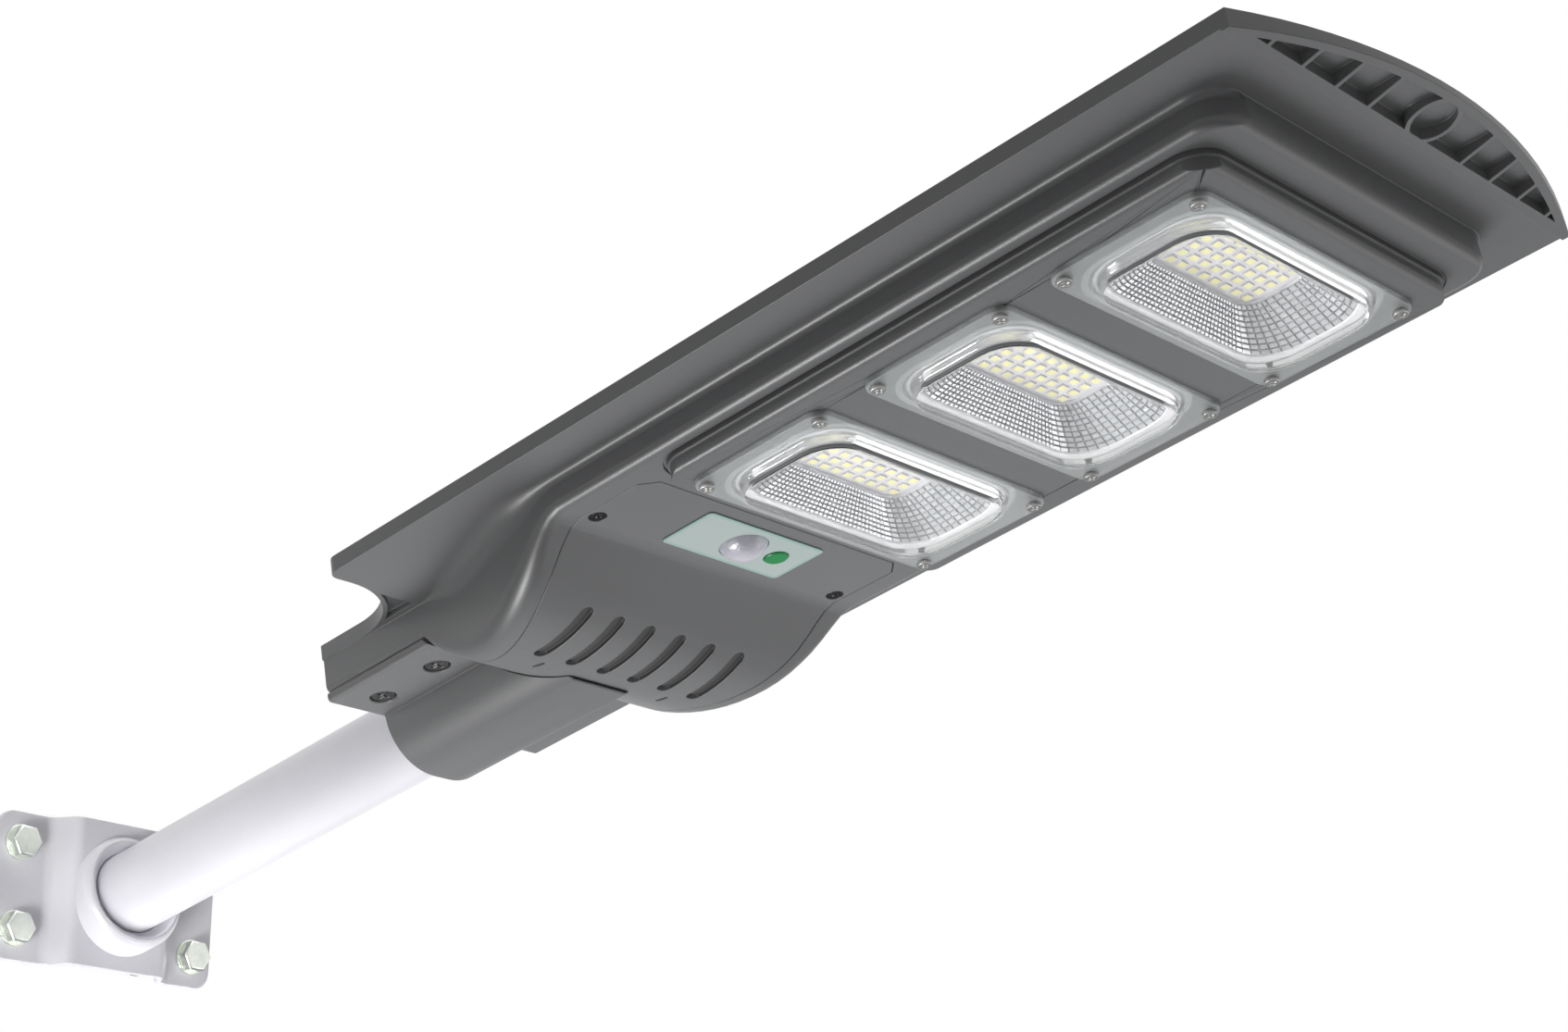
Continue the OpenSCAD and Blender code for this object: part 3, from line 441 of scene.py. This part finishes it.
film_low, film_high = reach("sensor_plate", head)
film_middle = (film_low + film_high) / 2
film_half = (film_high - film_low) / 2
border = 1.4 * mm
film_dark = (0.46, 0.54, 0.52)
film_bright = (0.51, 0.59, 0.57)
film_border = (0.36, 0.52, 0.47)
film = plastic("sensor_plate", film_dark, film_bright, 0.3)
x, y, _ = film.in_head()
off_x = (x - film_middle.x).size()
off_y = (y - film_middle.y).size()
edge = (off_x > film_half.x - border).highest(off_y > film_half.y - border)
middle_tint = film.blend(film.noise(30, 2), film_dark, film_bright)
film.set({"Base_Color": film.blend(edge, middle_tint, film_border)})
print("film is", [round(2 * v / mm, 1) for v in film_half], "mm")

# %% [markdown]
# Solar cells are dark blue silicon. Fine silver fingers run across each cell, and three wider bars along
# it gather the current. The lines are drawn by distance in the head's own frame.

# %% Solar cell finish
cells_blue = Finish("solar_cell", IOR=1.6, Coat_Weight=0.3)
finger_step = 2 * mm
finger_half = 0.06 * mm
bar_step = 30.25 * mm
bar_half = 0.6 * mm
half_gap = 1.25 * mm
x, y, _ = cells_blue.in_head()
fingers = x.off_line(finger_step) < finger_half
bars = (y.size() - half_gap).off_line(bar_step) < bar_half
silver = fingers.highest(bars)
crystal = cells_blue.noise(120, 4)
blue = cells_blue.blend(crystal, (0.010, 0.016, 0.050), (0.020, 0.032, 0.085))
cells_blue.set({
    "Base_Color": cells_blue.blend(silver, blue, (0.62, 0.63, 0.65)),
    "Metallic": 0.9 * silver,
    "Roughness": 0.22 + 0.12 * crystal,
})
print("solar cells:", len(cells_blue.tree.nodes), "nodes")

# %% [markdown]
# Two ways to make a piece. A solid whose shape is right is copied, its loose triangles are merged, and a
# Bevel modifier rounds its edges. Anything finer is modelled from scratch with bmesh. Either way one
# function names the piece, puts it in its place and says which solid it stands for. Small helpers pick
# vertices or edges out of what an operation returns, and copy a mesh to several places.

# %% Making pieces
merge_within = 0.002 * mm
seam_within = 0.001 * mm
sliver = 0.01 * mm
flat_within = math.radians(0.05)


def keep(bm, name, finishes, body, stands_for, place=None, smooth=True):
    """Turns a bmesh into a piece that rides on a body and stands for a solid."""
    if place is not None:
        bm.transform(place)
    mesh = bpy.data.meshes.new(name)
    bm.to_mesh(mesh)
    bm.free()
    for finish in finishes:
        mesh.materials.append(finish.material)
    if smooth:
        mesh.shade_smooth()
    piece = bpy.data.objects.new(name, mesh)
    scene.collection.objects.link(piece)
    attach(piece, body)
    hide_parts(stands_for)
    print(name, "has", len(mesh.polygons), "faces")
    return piece


def face_towards(bm, way):
    """Turns the faces of an open sheet so that most of them look one way."""
    bmesh.ops.recalc_face_normals(bm, faces=bm.faces)
    if sum(face.normal.dot(way) * face.calc_area() for face in bm.faces) < 0:
        bmesh.ops.reverse_faces(bm, faces=bm.faces)


def round_edges(piece, radius, segments=3, corner=32):
    """Rounds edges sharper than a corner, and keeps the flats beside them flat."""
    edges = piece.modifiers.new("round edges", "BEVEL")
    edges.width = radius
    edges.segments = segments
    edges.profile = 0.5
    edges.limit_method = "ANGLE"
    edges.angle_limit = math.radians(corner)
    edges.use_clamp_overlap = False
    edges.miter_outer = "MITER_ARC"
    edges.face_strength_mode = "FSTR_ALL"
    even = piece.modifiers.new("even shading", "WEIGHTED_NORMAL")
    even.keep_sharp = True
    even.use_face_influence = True
    return piece


def soften(node, name, finishes, radius, body="head", marked=None, pierced=False):
    """Copy of a solid with its edges rounded.

    Marked faces take the second finish. Flats are kept whole, but a pierced one is split up again, because
    one face can't go round an opening.
    """
    bm = bmesh.new()
    bm.from_mesh(nodes[node].data)
    bmesh.ops.remove_doubles(bm, verts=bm.verts, dist=merge_within)
    bmesh.ops.dissolve_limit(bm, verts=bm.verts, edges=bm.edges, angle_limit=flat_within)
    if pierced:
        flats = bmesh.ops.triangulate(bm, faces=[face for face in bm.faces if len(face.verts) > 4])
        bmesh.ops.beautify_fill(bm, faces=flats["faces"], edges=flats["edges"], method="ANGLE")
    bmesh.ops.dissolve_degenerate(bm, edges=bm.edges, dist=sliver)
    for face in bm.faces:
        face.material_index = 1 if marked and marked(face) else 0
    return round_edges(keep(bm, name, finishes, body, node), radius)


def turned(profile, steps=96, closed=True):
    """A profile of (x, radius) points turned about the x axis, as on a lathe."""
    bm = bmesh.new()
    chain = [bm.verts.new((x, 0, radius)) for x, radius in profile]
    following = chain[1:] + chain[:1] if closed else chain[1:]
    edges = [bm.edges.new(pair) for pair in zip(chain, following)]
    lathe = {"cent": (0, 0, 0), "axis": (1, 0, 0), "angle": math.tau, "steps": steps}
    bmesh.ops.spin(bm, geom=chain + edges, use_merge=True, **lathe)
    bmesh.ops.remove_doubles(bm, verts=bm.verts, dist=seam_within)
    bmesh.ops.recalc_face_normals(bm, faces=bm.faces)
    return bm


def whole(bm):
    """Everything that a bmesh holds so far."""
    return bm.verts[:] + bm.edges[:] + bm.faces[:]


def points_of(parts):
    """The vertices among parts of a bmesh."""
    return [part for part in parts if isinstance(part, bmesh.types.BMVert)]


def edges_of(parts):
    """The edges among parts of a bmesh."""
    return [part for part in parts if isinstance(part, bmesh.types.BMEdge)]


def repeat(bm, places):
    """Moves a bmesh to the first place and copies it to the others."""
    one = whole(bm)
    for place in places[1:]:
        copied = bmesh.ops.duplicate(bm, geom=one)["geom"]
        bmesh.ops.translate(bm, verts=points_of(copied), vec=place)
    bmesh.ops.translate(bm, verts=points_of(one), vec=places[0])


print("ways to make a piece are ready")

# %% [markdown]
# The three shells of the head are mouldings. Their solids already have the coves, the belly and the ribs,
# so only the edges are missing: a quarter to three quarters of a millimetre, enough to catch a line of
# light. The floors of the belly's grooves are painted darker, as painted shade for the shadow in them.

# %% Head shells
belly_axis = Vector((-217 * mm, 0, 42.2 * mm))
belly_r = 60 * mm
vent_depth = 1.8 * mm
floor_slack = 0.3 * mm
into_head = head.inverted()


def in_a_vent(face):
    """Faces on the floor of the belly's grooves."""
    from_axis = into_head @ face.calc_center_median() - belly_axis
    from_axis.y = 0
    return abs(from_axis.length - belly_r + vent_depth) < floor_slack


soften("main_housing", "housing_shell", [shell], radius=0.28 * mm, pierced=True)
soften("rear_cover", "battery_cover", [shell, painted_groove_shade], radius=0.45 * mm, marked=in_a_vent)
soften("lower_clamp", "clamp_trough", [shell], radius=0.7 * mm)

# %% [markdown]
# The arm is a plain tube and its collar a dished ring. Both are turned as on a lathe, tilted, and cut off
# flush with the front of the wall plate. The cut leaves two loops of edges, and bridging them closes the
# end.

# %% Arm and collar
plate_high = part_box("wall_plate")[1]
plate_front = plate_high[0]
tube_high = reach("arm_tube", arm)[1]
collar_high = reach("weld_collar", arm)[1]
tube_r = tube_high.y
tube_wall = 2 * mm
tube_bore = tube_r - tube_wall
collar_play = 0.05 * mm
collar_r = collar_high.y
collar_l = collar_high.x
behind = -2 * tube_r


def cut_at_plate(bm):
    """Tilts a turned piece along the arm and ends it at the plate's front."""
    bm.transform(arm)
    front = {"plane_co": (plate_front, 0, 0), "plane_no": (1, 0, 0), "clear_inner": True}
    cut = bmesh.ops.bisect_plane(bm, geom=whole(bm), **front)["geom_cut"]
    bmesh.ops.bridge_loops(bm, edges=edges_of(cut))
    return bm


tube = turned([(behind, tube_r), (tube_high.x, tube_r), (tube_high.x, tube_bore), (behind, tube_bore)])
pole = keep(cut_at_plate(tube), "arm_pole", [coat], "bracket", "arm_tube")
round_edges(pole, radius=0.4 * mm)
bore = tube_r + collar_play
ring = collar_r - bore
collar = turned([
    (behind, bore), (behind, collar_r), (collar_l - ring / 3, collar_r), (collar_l, collar_r - ring / 4),
    (collar_l, collar_r - ring / 2), (collar_l - ring / 2, bore + ring / 6), (collar_l - ring / 2, bore),
])
foot = keep(cut_at_plate(collar), "arm_collar", [coat], "bracket", "weld_collar")
round_edges(foot, radius=1 * mm, segments=5, corner=25)
print("arm is", round(2 * tube_r / mm, 1), "mm thick, its collar", round(2 * collar_r / mm, 1))

# %% [markdown]
# The wall plate is one pressed sheet: two feet, two sloping webs and a raised face. A strip of vertices
# drawn along its front is extruded upwards, its bends are beveled, its four corners rounded, and Solidify
# gives the sheet its thickness towards the wall.

# %% Wall plate
plate_t = 3 * mm
half_w = plate_high[1]
half_h = plate_high[2]
face_half = 25 * mm
web_run = 7 * mm
foot_start = face_half + web_run
bend = 3.2 * mm
corner_r = 8 * mm
front_line = [(plate_t, half_w), (plate_t, foot_start), (plate_front, face_half)]
front_line += [(x, -y) for x, y in reversed(front_line)]
bm = bmesh.new()
chain = [bm.verts.new((x, y, -half_h)) for x, y in front_line]
strip = [bm.edges.new(pair) for pair in zip(chain, chain[1:])]
raised = bmesh.ops.extrude_edge_only(bm, edges=strip)["geom"]
bmesh.ops.translate(bm, verts=points_of(raised), vec=(0, 0, 2 * half_h))
corners = [vert for vert in bm.verts if abs(vert.co.y) > half_w - mm]
rounding = {"segments": 8, "profile": 0.5, "material": -1}
bmesh.ops.bevel(bm, geom=corners, offset=corner_r, affect="VERTICES", **rounding)
bends = [edge for edge in bm.edges if len(edge.link_faces) == 2]
bmesh.ops.bevel(bm, geom=bends, offset=bend, affect="EDGES", **rounding)
face_towards(bm, Vector((1, 0, 0)))
plate = keep(bm, "pressed_plate", [coat], "bracket", "wall_plate")
sheet = plate.modifiers.new("sheet", "SOLIDIFY")
sheet.thickness = plate_t
sheet.offset = -1
sheet.use_even_offset = True
round_edges(plate, radius=0.7 * mm)

# %% [markdown]
# Bolts and washers. The head is a hexagon whose outer corners are taken off, as a cold-formed head has.
# Behind it the thread is a tooth that is spun and moved one pitch a turn, over a plain core. One bolt and
# one washer are made and copied to the four corners of the plate.

# %% Wall bolts
bolt_low, bolt_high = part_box("wall_bolts")
washer_low, washer_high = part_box("bolt_washers")
bolt_r = 4 * mm
head_r = 7.48 * mm
seat = washer_high[0]
head_h = bolt_high[0] - seat
head_chamfer = 1.1 * mm
washer_r = 8 * mm
washer_play = 0.25 * mm
washer_bore = bolt_r + washer_play
bolt_y = washer_high[1] - washer_r
bolt_z = washer_high[2] - washer_r
bolt_places = [(0, y, z) for y in (bolt_y, -bolt_y) for z in (bolt_z, -bolt_z)]
pitch = 1.25 * mm
thread_depth = 0.6 * mm
thread_root = bolt_r - thread_depth
turns = int(-bolt_low[0] / pitch) - 3
a_turn = 20
along_x = Matrix.Rotation(math.radians(90), 4, "Y")


def round_bar(bm, radius, start, end, segments):
    """A bar along x with closed ends."""
    bar = {"radius1": radius, "radius2": radius, "depth": end - start, "segments": segments}
    verts = bmesh.ops.create_cone(bm, cap_ends=True, matrix=along_x, **bar)["verts"]
    bmesh.ops.translate(bm, verts=verts, vec=((start + end) / 2, 0, 0))


bm = bmesh.new()
round_bar(bm, head_r, seat, bolt_high[0], segments=6)
outer = [edge for edge in bm.edges if all(vert.co.x > seat + head_h / 2 for vert in edge.verts)]
chamfer = {"offset": head_chamfer, "segments": 4, "profile": 0.5, "material": -1}
bmesh.ops.bevel(bm, geom=outer, affect="EDGES", **chamfer)
round_bar(bm, thread_root, bolt_low[0], seat, segments=32)
first = bolt_low[0] + pitch
tooth_line = ((0, thread_root), (pitch / 2, bolt_r), (pitch, thread_root))
tooth = [bm.verts.new((first + x, 0, r)) for x, r in tooth_line]
flanks = [bm.edges.new(pair) for pair in zip(tooth, tooth[1:])]
bmesh.ops.spin(
    bm, geom=tooth + flanks, cent=(0, 0, 0), axis=(1, 0, 0), dvec=(pitch / a_turn, 0, 0),
    angle=math.tau * turns, steps=a_turn * turns)
bmesh.ops.remove_doubles(bm, verts=bm.verts, dist=seam_within)
bmesh.ops.recalc_face_normals(bm, faces=bm.faces)
repeat(bm, bolt_places)
bolts = keep(bm, "hex_bolts", [zinc], "bracket", "wall_bolts")
round_edges(bolts, radius=0.3 * mm, segments=2, corner=50)

# %% [markdown]
# A washer is a flat ring stamped from sheet, with a little play round the bolt.

# %% Washers
under = washer_low[0]
bm = turned([(under, washer_bore), (under, washer_r), (seat, washer_r), (seat, washer_bore)], steps=48)
repeat(bm, bolt_places)
washers = keep(bm, "flat_washers", [zinc], "bracket", "bolt_washers")
round_edges(washers, radius=0.3 * mm)

# %% [markdown]
# The screws keep their solids' cross recess. Only their edges are rounded.

# %% Screws
soften("lens_screws", "lens_pan_screws", [steel], radius=0.25 * mm)
soften("cover_screws", "cover_pan_screws", [black_steel], radius=0.2 * mm)
# The clamp screws' dark grey is painted shade for their wells.
soften("clamp_screws", "clamp_pan_screws", [painted_shade_steel], radius=0.3 * mm)

# %% [markdown]
# Lens and reflector are both stacks of outlines: rectangles with round corners at different heights. One
# function makes such an outline from a square whose corners are beveled, and neighbours in the stack are
# bridged.

# %% Stacked outlines


def outline(bm, half_x, half_y, radius, height, corner=6, cells_x=1, cells_y=1):
    """Loop of edges round a rectangle with round corners."""
    square = bmesh.ops.create_grid(bm, x_segments=1, y_segments=1, size=0.5)["verts"]
    bmesh.ops.scale(bm, verts=square, vec=(2 * half_x, 2 * half_y, 1))
    bmesh.ops.translate(bm, verts=square, vec=(0, 0, height))
    soft = {"affect": "VERTICES", "segments": corner, "profile": 0.5, "material": -1}
    face = bmesh.ops.bevel(bm, geom=square, offset=radius, **soft)["verts"][0].link_faces[0]
    loop = list(face.edges)
    bmesh.ops.delete(bm, geom=[face], context="FACES_ONLY")
    for axis, straight, cells in ((0, half_x - radius, cells_x), (1, half_y - radius, cells_y)):
        spans = [(edge, (edge.verts[0].co - edge.verts[1].co)[axis]) for edge in loop]
        sides = [edge for edge, span in spans if abs(abs(span) - 2 * straight) < sliver]
        if cells > 1 and straight > 0:
            loop = [edge for edge in loop if edge not in sides]
            split = bmesh.ops.subdivide_edges(bm, edges=sides, cuts=cells - 1)["geom_split"]
            loop += edges_of(split)
    return loop


def bridge(bm, lower, upper, finish=0):
    """Band of faces between two outlines."""
    band = bmesh.ops.bridge_loops(bm, edges=lower + upper)["faces"]
    for face in band:
        face.material_index = finish
    return band


print("outlines are ready")

# %% [markdown]
# A lens is one closed shell: a flange that lies on the deck and a low dome with softly rounded shoulders.
# The dome is polished, the flange is frosted by the mould and the shoulder is hazy, so the shell takes
# three finishes. Its outlines follow the flange's or the dome's, set out or in by a little more at each
# height.

# %% Lenses
places = ("rear", "middle", "front")
flange = (32 * mm, 65.5 * mm, 7 * mm)
dome = (27.6 * mm, 55 * mm, 17 * mm)
polished, frost, haze = 0, 1, 2
# How far each outline is set out and its height, both in millimetres, and the finish up to the next
flange_steps = [(0, 0, frost), (0, -1.5, frost), (-0.15, -1.85, frost), (-0.5, -2, frost)]
dome_steps = [
    (0.9, -2.05, frost), (0.3, -2.25, haze), (-0.1, -2.9, haze), (-0.7, -4.2, haze), (-1.5, -5.2, haze),
    (-2.6, -5.8, polished), (-4, -6, polished),
]
inner_steps = [(-4, -4, polished), (-2.6, -3.6, polished), (-1.7, -2.6, polished), (-1.3, -0.1, polished)]


def stack(bm, sides, steps):
    """Outlines that follow one rectangle, each set out by its step."""
    return [outline(bm, *(side + out * mm for side in sides), height * mm) for out, height, _ in steps]


def make_lens(place):
    """A lens in the place of its solid."""
    bm = bmesh.new()
    outside = stack(bm, flange, flange_steps) + stack(bm, dome, dome_steps)
    inside = stack(bm, dome, inner_steps)
    bands = [finish for _, _, finish in flange_steps + dome_steps]
    for lower, upper, finish in zip(outside, outside[1:], bands):
        bridge(bm, lower, upper, finish)
    for lower, upper in zip(inside, inside[1:]):
        bridge(bm, lower, upper)
    bmesh.ops.edgeloop_fill(bm, edges=outside[-1])
    bmesh.ops.edgeloop_fill(bm, edges=inside[0])
    bridge(bm, inside[-1], outside[0], frost)
    bmesh.ops.recalc_face_normals(bm, faces=bm.faces)
    solid = "lens_" + place
    finishes = [clear, frosted, satin]
    piece = keep(bm, "clear_lens_" + place, finishes, "head", solid, at_node(solid))
    even = piece.modifiers.new("even shading", "WEIGHTED_NORMAL")
    even.keep_sharp = True


for place in places:
    make_lens(place)

# %% [markdown]
# A reflector is a bowl of small mirrors under a white lip. The wall is bridged from its mouth to its
# floor and cut into rows, and every cell is inset and pushed out a little, so that each mirror stands on
# its own facet. The slopes round the cells take a darker finish, which draws the net of joints.

# %% Reflectors
rows = 9
cells = {"corner": 7, "cells_x": 4, "cells_y": 28}
lip_out = (27.6 * mm, 55.2 * mm, 17.2 * mm)
mouth = (23.8 * mm, 51.0 * mm, 17 * mm)
lip_step = 0.5 * mm
lip_in = [side + lip_step for side in mouth]
floor_of_bowl = (14.2 * mm, 31.2 * mm, 8 * mm)
lip_level = 0.15 * mm
step_level = 0.3 * mm
mouth_level = 0.8 * mm
below_mouth = 0.9 * mm
bowl_depth = 11.8 * mm
foot_h = 1.15 * mm
bowl_wall = 0.6 * mm
silvered, whitened, joint = 0, 1, 2
mirror_cut = {"thickness": 0.38 * mm, "depth": 0.5 * mm, "use_even_offset": True}


def make_reflector(place):
    """A reflector in the place of its solid."""
    bm = bmesh.new()
    outer = outline(bm, *lip_out, lip_level, **cells)
    inner = outline(bm, *lip_in, step_level, **cells)
    top = outline(bm, *mouth, mouth_level, **cells)
    low = outline(bm, *floor_of_bowl, bowl_depth, **cells)
    end = outline(bm, *floor_of_bowl, bowl_depth + foot_h, **cells)
    bridge(bm, outer, inner, whitened)
    bridge(bm, inner, top, whitened)
    wall = bridge(bm, top, low, silvered)
    bridge(bm, low, end, silvered)
    ribs = {edge for face in wall for edge in face.edges} - set(top) - set(low)
    bmesh.ops.subdivide_edges(bm, edges=list(ribs), cuts=rows - 1, use_grid_fill=True)
    face_towards(bm, Vector((0, 0, -1)))
    mirrors = [face for face in bm.faces if below_mouth < face.calc_center_median().z < bowl_depth]
    for face in bmesh.ops.inset_individual(bm, faces=mirrors, **mirror_cut)["faces"]:
        face.material_index = joint
    solid = "reflector_" + place
    finishes = [mirror, white_sheet, mirror_gap]
    piece = keep(bm, "mirror_bowl_" + place, finishes, "head", solid, at_node(solid), smooth=False)
    back = piece.modifiers.new("wall of the bowl", "SOLIDIFY")
    back.thickness = bowl_wall
    back.offset = -1


for place in places:
    make_reflector(place)

# %% [markdown]
# Each LED is a white package with a shallow well of yellow phosphor. One is modelled, and copied over the
# board.

# %% LEDs
count_x, count_y = 5, 9
board_x, board_y = 28 * mm, 62 * mm
margin = 0.6
step_x = board_x / (count_x + margin)
step_y = board_y / (count_y + margin)
led_size = (3.1 * mm, 3.9 * mm, 0.7 * mm)
led_border = 0.22 * mm
well_depth = 0.06 * mm
board_level = 13 * mm
led_places = [
    ((i - (count_x - 1) / 2) * step_x, (j - (count_y - 1) / 2) * step_y, 0)
    for i in range(count_x) for j in range(count_y)
]


def make_leds(place):
    """The LEDs of one board, in the place of their solid."""
    bm = bmesh.new()
    package = bmesh.ops.create_cube(bm, size=1)["verts"]
    bmesh.ops.scale(bm, verts=package, vec=led_size)
    bmesh.ops.translate(bm, verts=package, vec=(0, 0, board_level - led_size[2] / 2))
    well = min(bm.faces, key=lambda face: face.calc_center_median().z)
    bmesh.ops.inset_region(bm, faces=[well], thickness=led_border)
    bmesh.ops.translate(bm, verts=well.verts[:], vec=(0, 0, well_depth))
    well.material_index = 1
    repeat(bm, led_places)
    solid = "led_chips_" + place
    finishes = [board_white, phosphor]
    keep(bm, "led_dots_" + place, finishes, "head", solid, at_node(solid), smooth=False)


for place in places:
    make_leds(place)

# %% [markdown]
# The motion sensor's dome is a slice of a sphere, thin and milky. Its open rim is drawn up into a short
# collar and then outwards into the flange that holds it behind the plate.

# %% Sensor dome
pir_low, pir_high = reach("pir_lens", head)
sensor_x = film_middle.x
skin_level = film_high.z
pir_r = 9.5 * mm
pir_h = skin_level - pir_low.z
ball_r = (pir_r ** 2 + pir_h ** 2) / (2 * pir_h)
bm = bmesh.new()
bmesh.ops.create_uvsphere(bm, u_segments=64, v_segments=48, radius=ball_r)
bmesh.ops.translate(bm, verts=bm.verts, vec=(0, 0, pir_low.z + ball_r))
slice_at = {"plane_co": (0, 0, skin_level), "plane_no": (0, 0, 1), "clear_outer": True}
bmesh.ops.bisect_plane(bm, geom=whole(bm), **slice_at)


def draw_rim():
    """Extrudes the open rim and returns its new vertices."""
    rim = [edge for edge in bm.edges if len(edge.link_faces) == 1]
    return points_of(bmesh.ops.extrude_edge_only(bm, edges=rim)["geom"])


wide = pir_high.y / pir_r
bmesh.ops.translate(bm, verts=draw_rim(), vec=(0, 0, pir_high.z - skin_level))
bmesh.ops.scale(bm, verts=draw_rim(), vec=(wide, wide, 1))
face_towards(bm, Vector((0, 0, -1)))
pir_place = head @ Matrix.Translation((sensor_x, 0, 0))
pir_dome = keep(bm, "sensor_dome", [milky], "head", "pir_lens", pir_place)
skin = pir_dome.modifiers.new("wall of the dome", "SOLIDIFY")
skin.thickness = 0.8 * mm
skin.offset = -1

# %% [markdown]
# The button beside the sensor is turned: a flat cap with a shallow dish for the fingertip, and behind the
# plate a wider rim that keeps it from falling out. It rides on a body of its own, because it moves.

# %% Push button
cap_low, cap_high = reach("push_button", head)
cap_middle = (cap_low + cap_high) / 2
cap_r = 4.7 * mm
rim_r = cap_high.y - cap_middle.y
rim_t = 1 * mm
rim_low = cap_high.z - rim_t
stand_up = Matrix.Rotation(math.radians(-90), 4, "Y")
# Height above the cap's lowest ring, and radius, both in millimetres
dish = [(0.35, 0), (0.3, 1.6), (0.12, 3.2), (0, 4.0), (0.12, 4.4), (0.5, cap_r / mm)]
profile = [(cap_low.z + rise * mm, radius * mm) for rise, radius in dish]
profile += [(rim_low, cap_r), (rim_low, rim_r), (cap_high.z, rim_r), (cap_high.z, 0)]
bm = turned(profile, steps=64, closed=False)
centre = Matrix.Translation((cap_middle.x, cap_middle.y, 0))
keep(bm, "mode_button", [green], "button", "push_button", head @ centre @ stand_up)

# %% [markdown]
# The plate round the sensor and the button is a thin film. Its solid has both holes already, and only its
# edges are eased.

# %% Sensor plate
soften("sensor_plate", "sensor_film", [film], radius=0.15 * mm)

# %% [markdown]
# The remaining solids have the right shape already and mostly lie inside the head or on its top. They
# keep their own meshes and only take a finish.

# %% Finishes of the other solids
dressed = {
    "panel_glass": panel_glass,
    "panel_cells": cells_blue,
    "panel_backsheet": white_sheet,
    "panel_seal": black_rubber,
    "junction_box": black_plastic,
    "lens_gaskets": pale_rubber,
    "led_board_rear": board_white,
    "led_board_middle": board_white,
    "led_board_front": board_white,
    "pir_sensor": steel,
    "button_switch": black_plastic,
    "control_board": circuit_green,
    "board_parts": black_plastic,
    "battery_tray": black_plastic,
    "battery_cells": battery_blue,
    "battery_leads": lead_red,
    "panel_leads": lead_red,
    "led_leads": lead_red,
}
for node, finish in dressed.items():
    for socket in nodes[node].material_slots:
        socket.material = finish.material
print(len(dressed), "solids keep their meshes")

# %% [markdown]
# The lamp hangs on its wall high above the ground, so the floor lies far below it. It is no part of the
# lamp, and only shows from other sides than the photographed one.

# %% Floor
floor_level = -1.25
floor_size = 6
bm = bmesh.new()
bmesh.ops.create_grid(bm, x_segments=1, y_segments=1, size=floor_size)
bmesh.ops.translate(bm, verts=bm.verts, vec=(0, 0, floor_level))
floor_mesh = bpy.data.meshes.new("floor")
bm.to_mesh(floor_mesh)
bm.free()
floor = bpy.data.objects.new("floor", floor_mesh)
floor_mesh.materials.append(pale.material)
scene.collection.objects.link(floor)
print("floor lies", -floor_level, "m below the wall plate's middle")
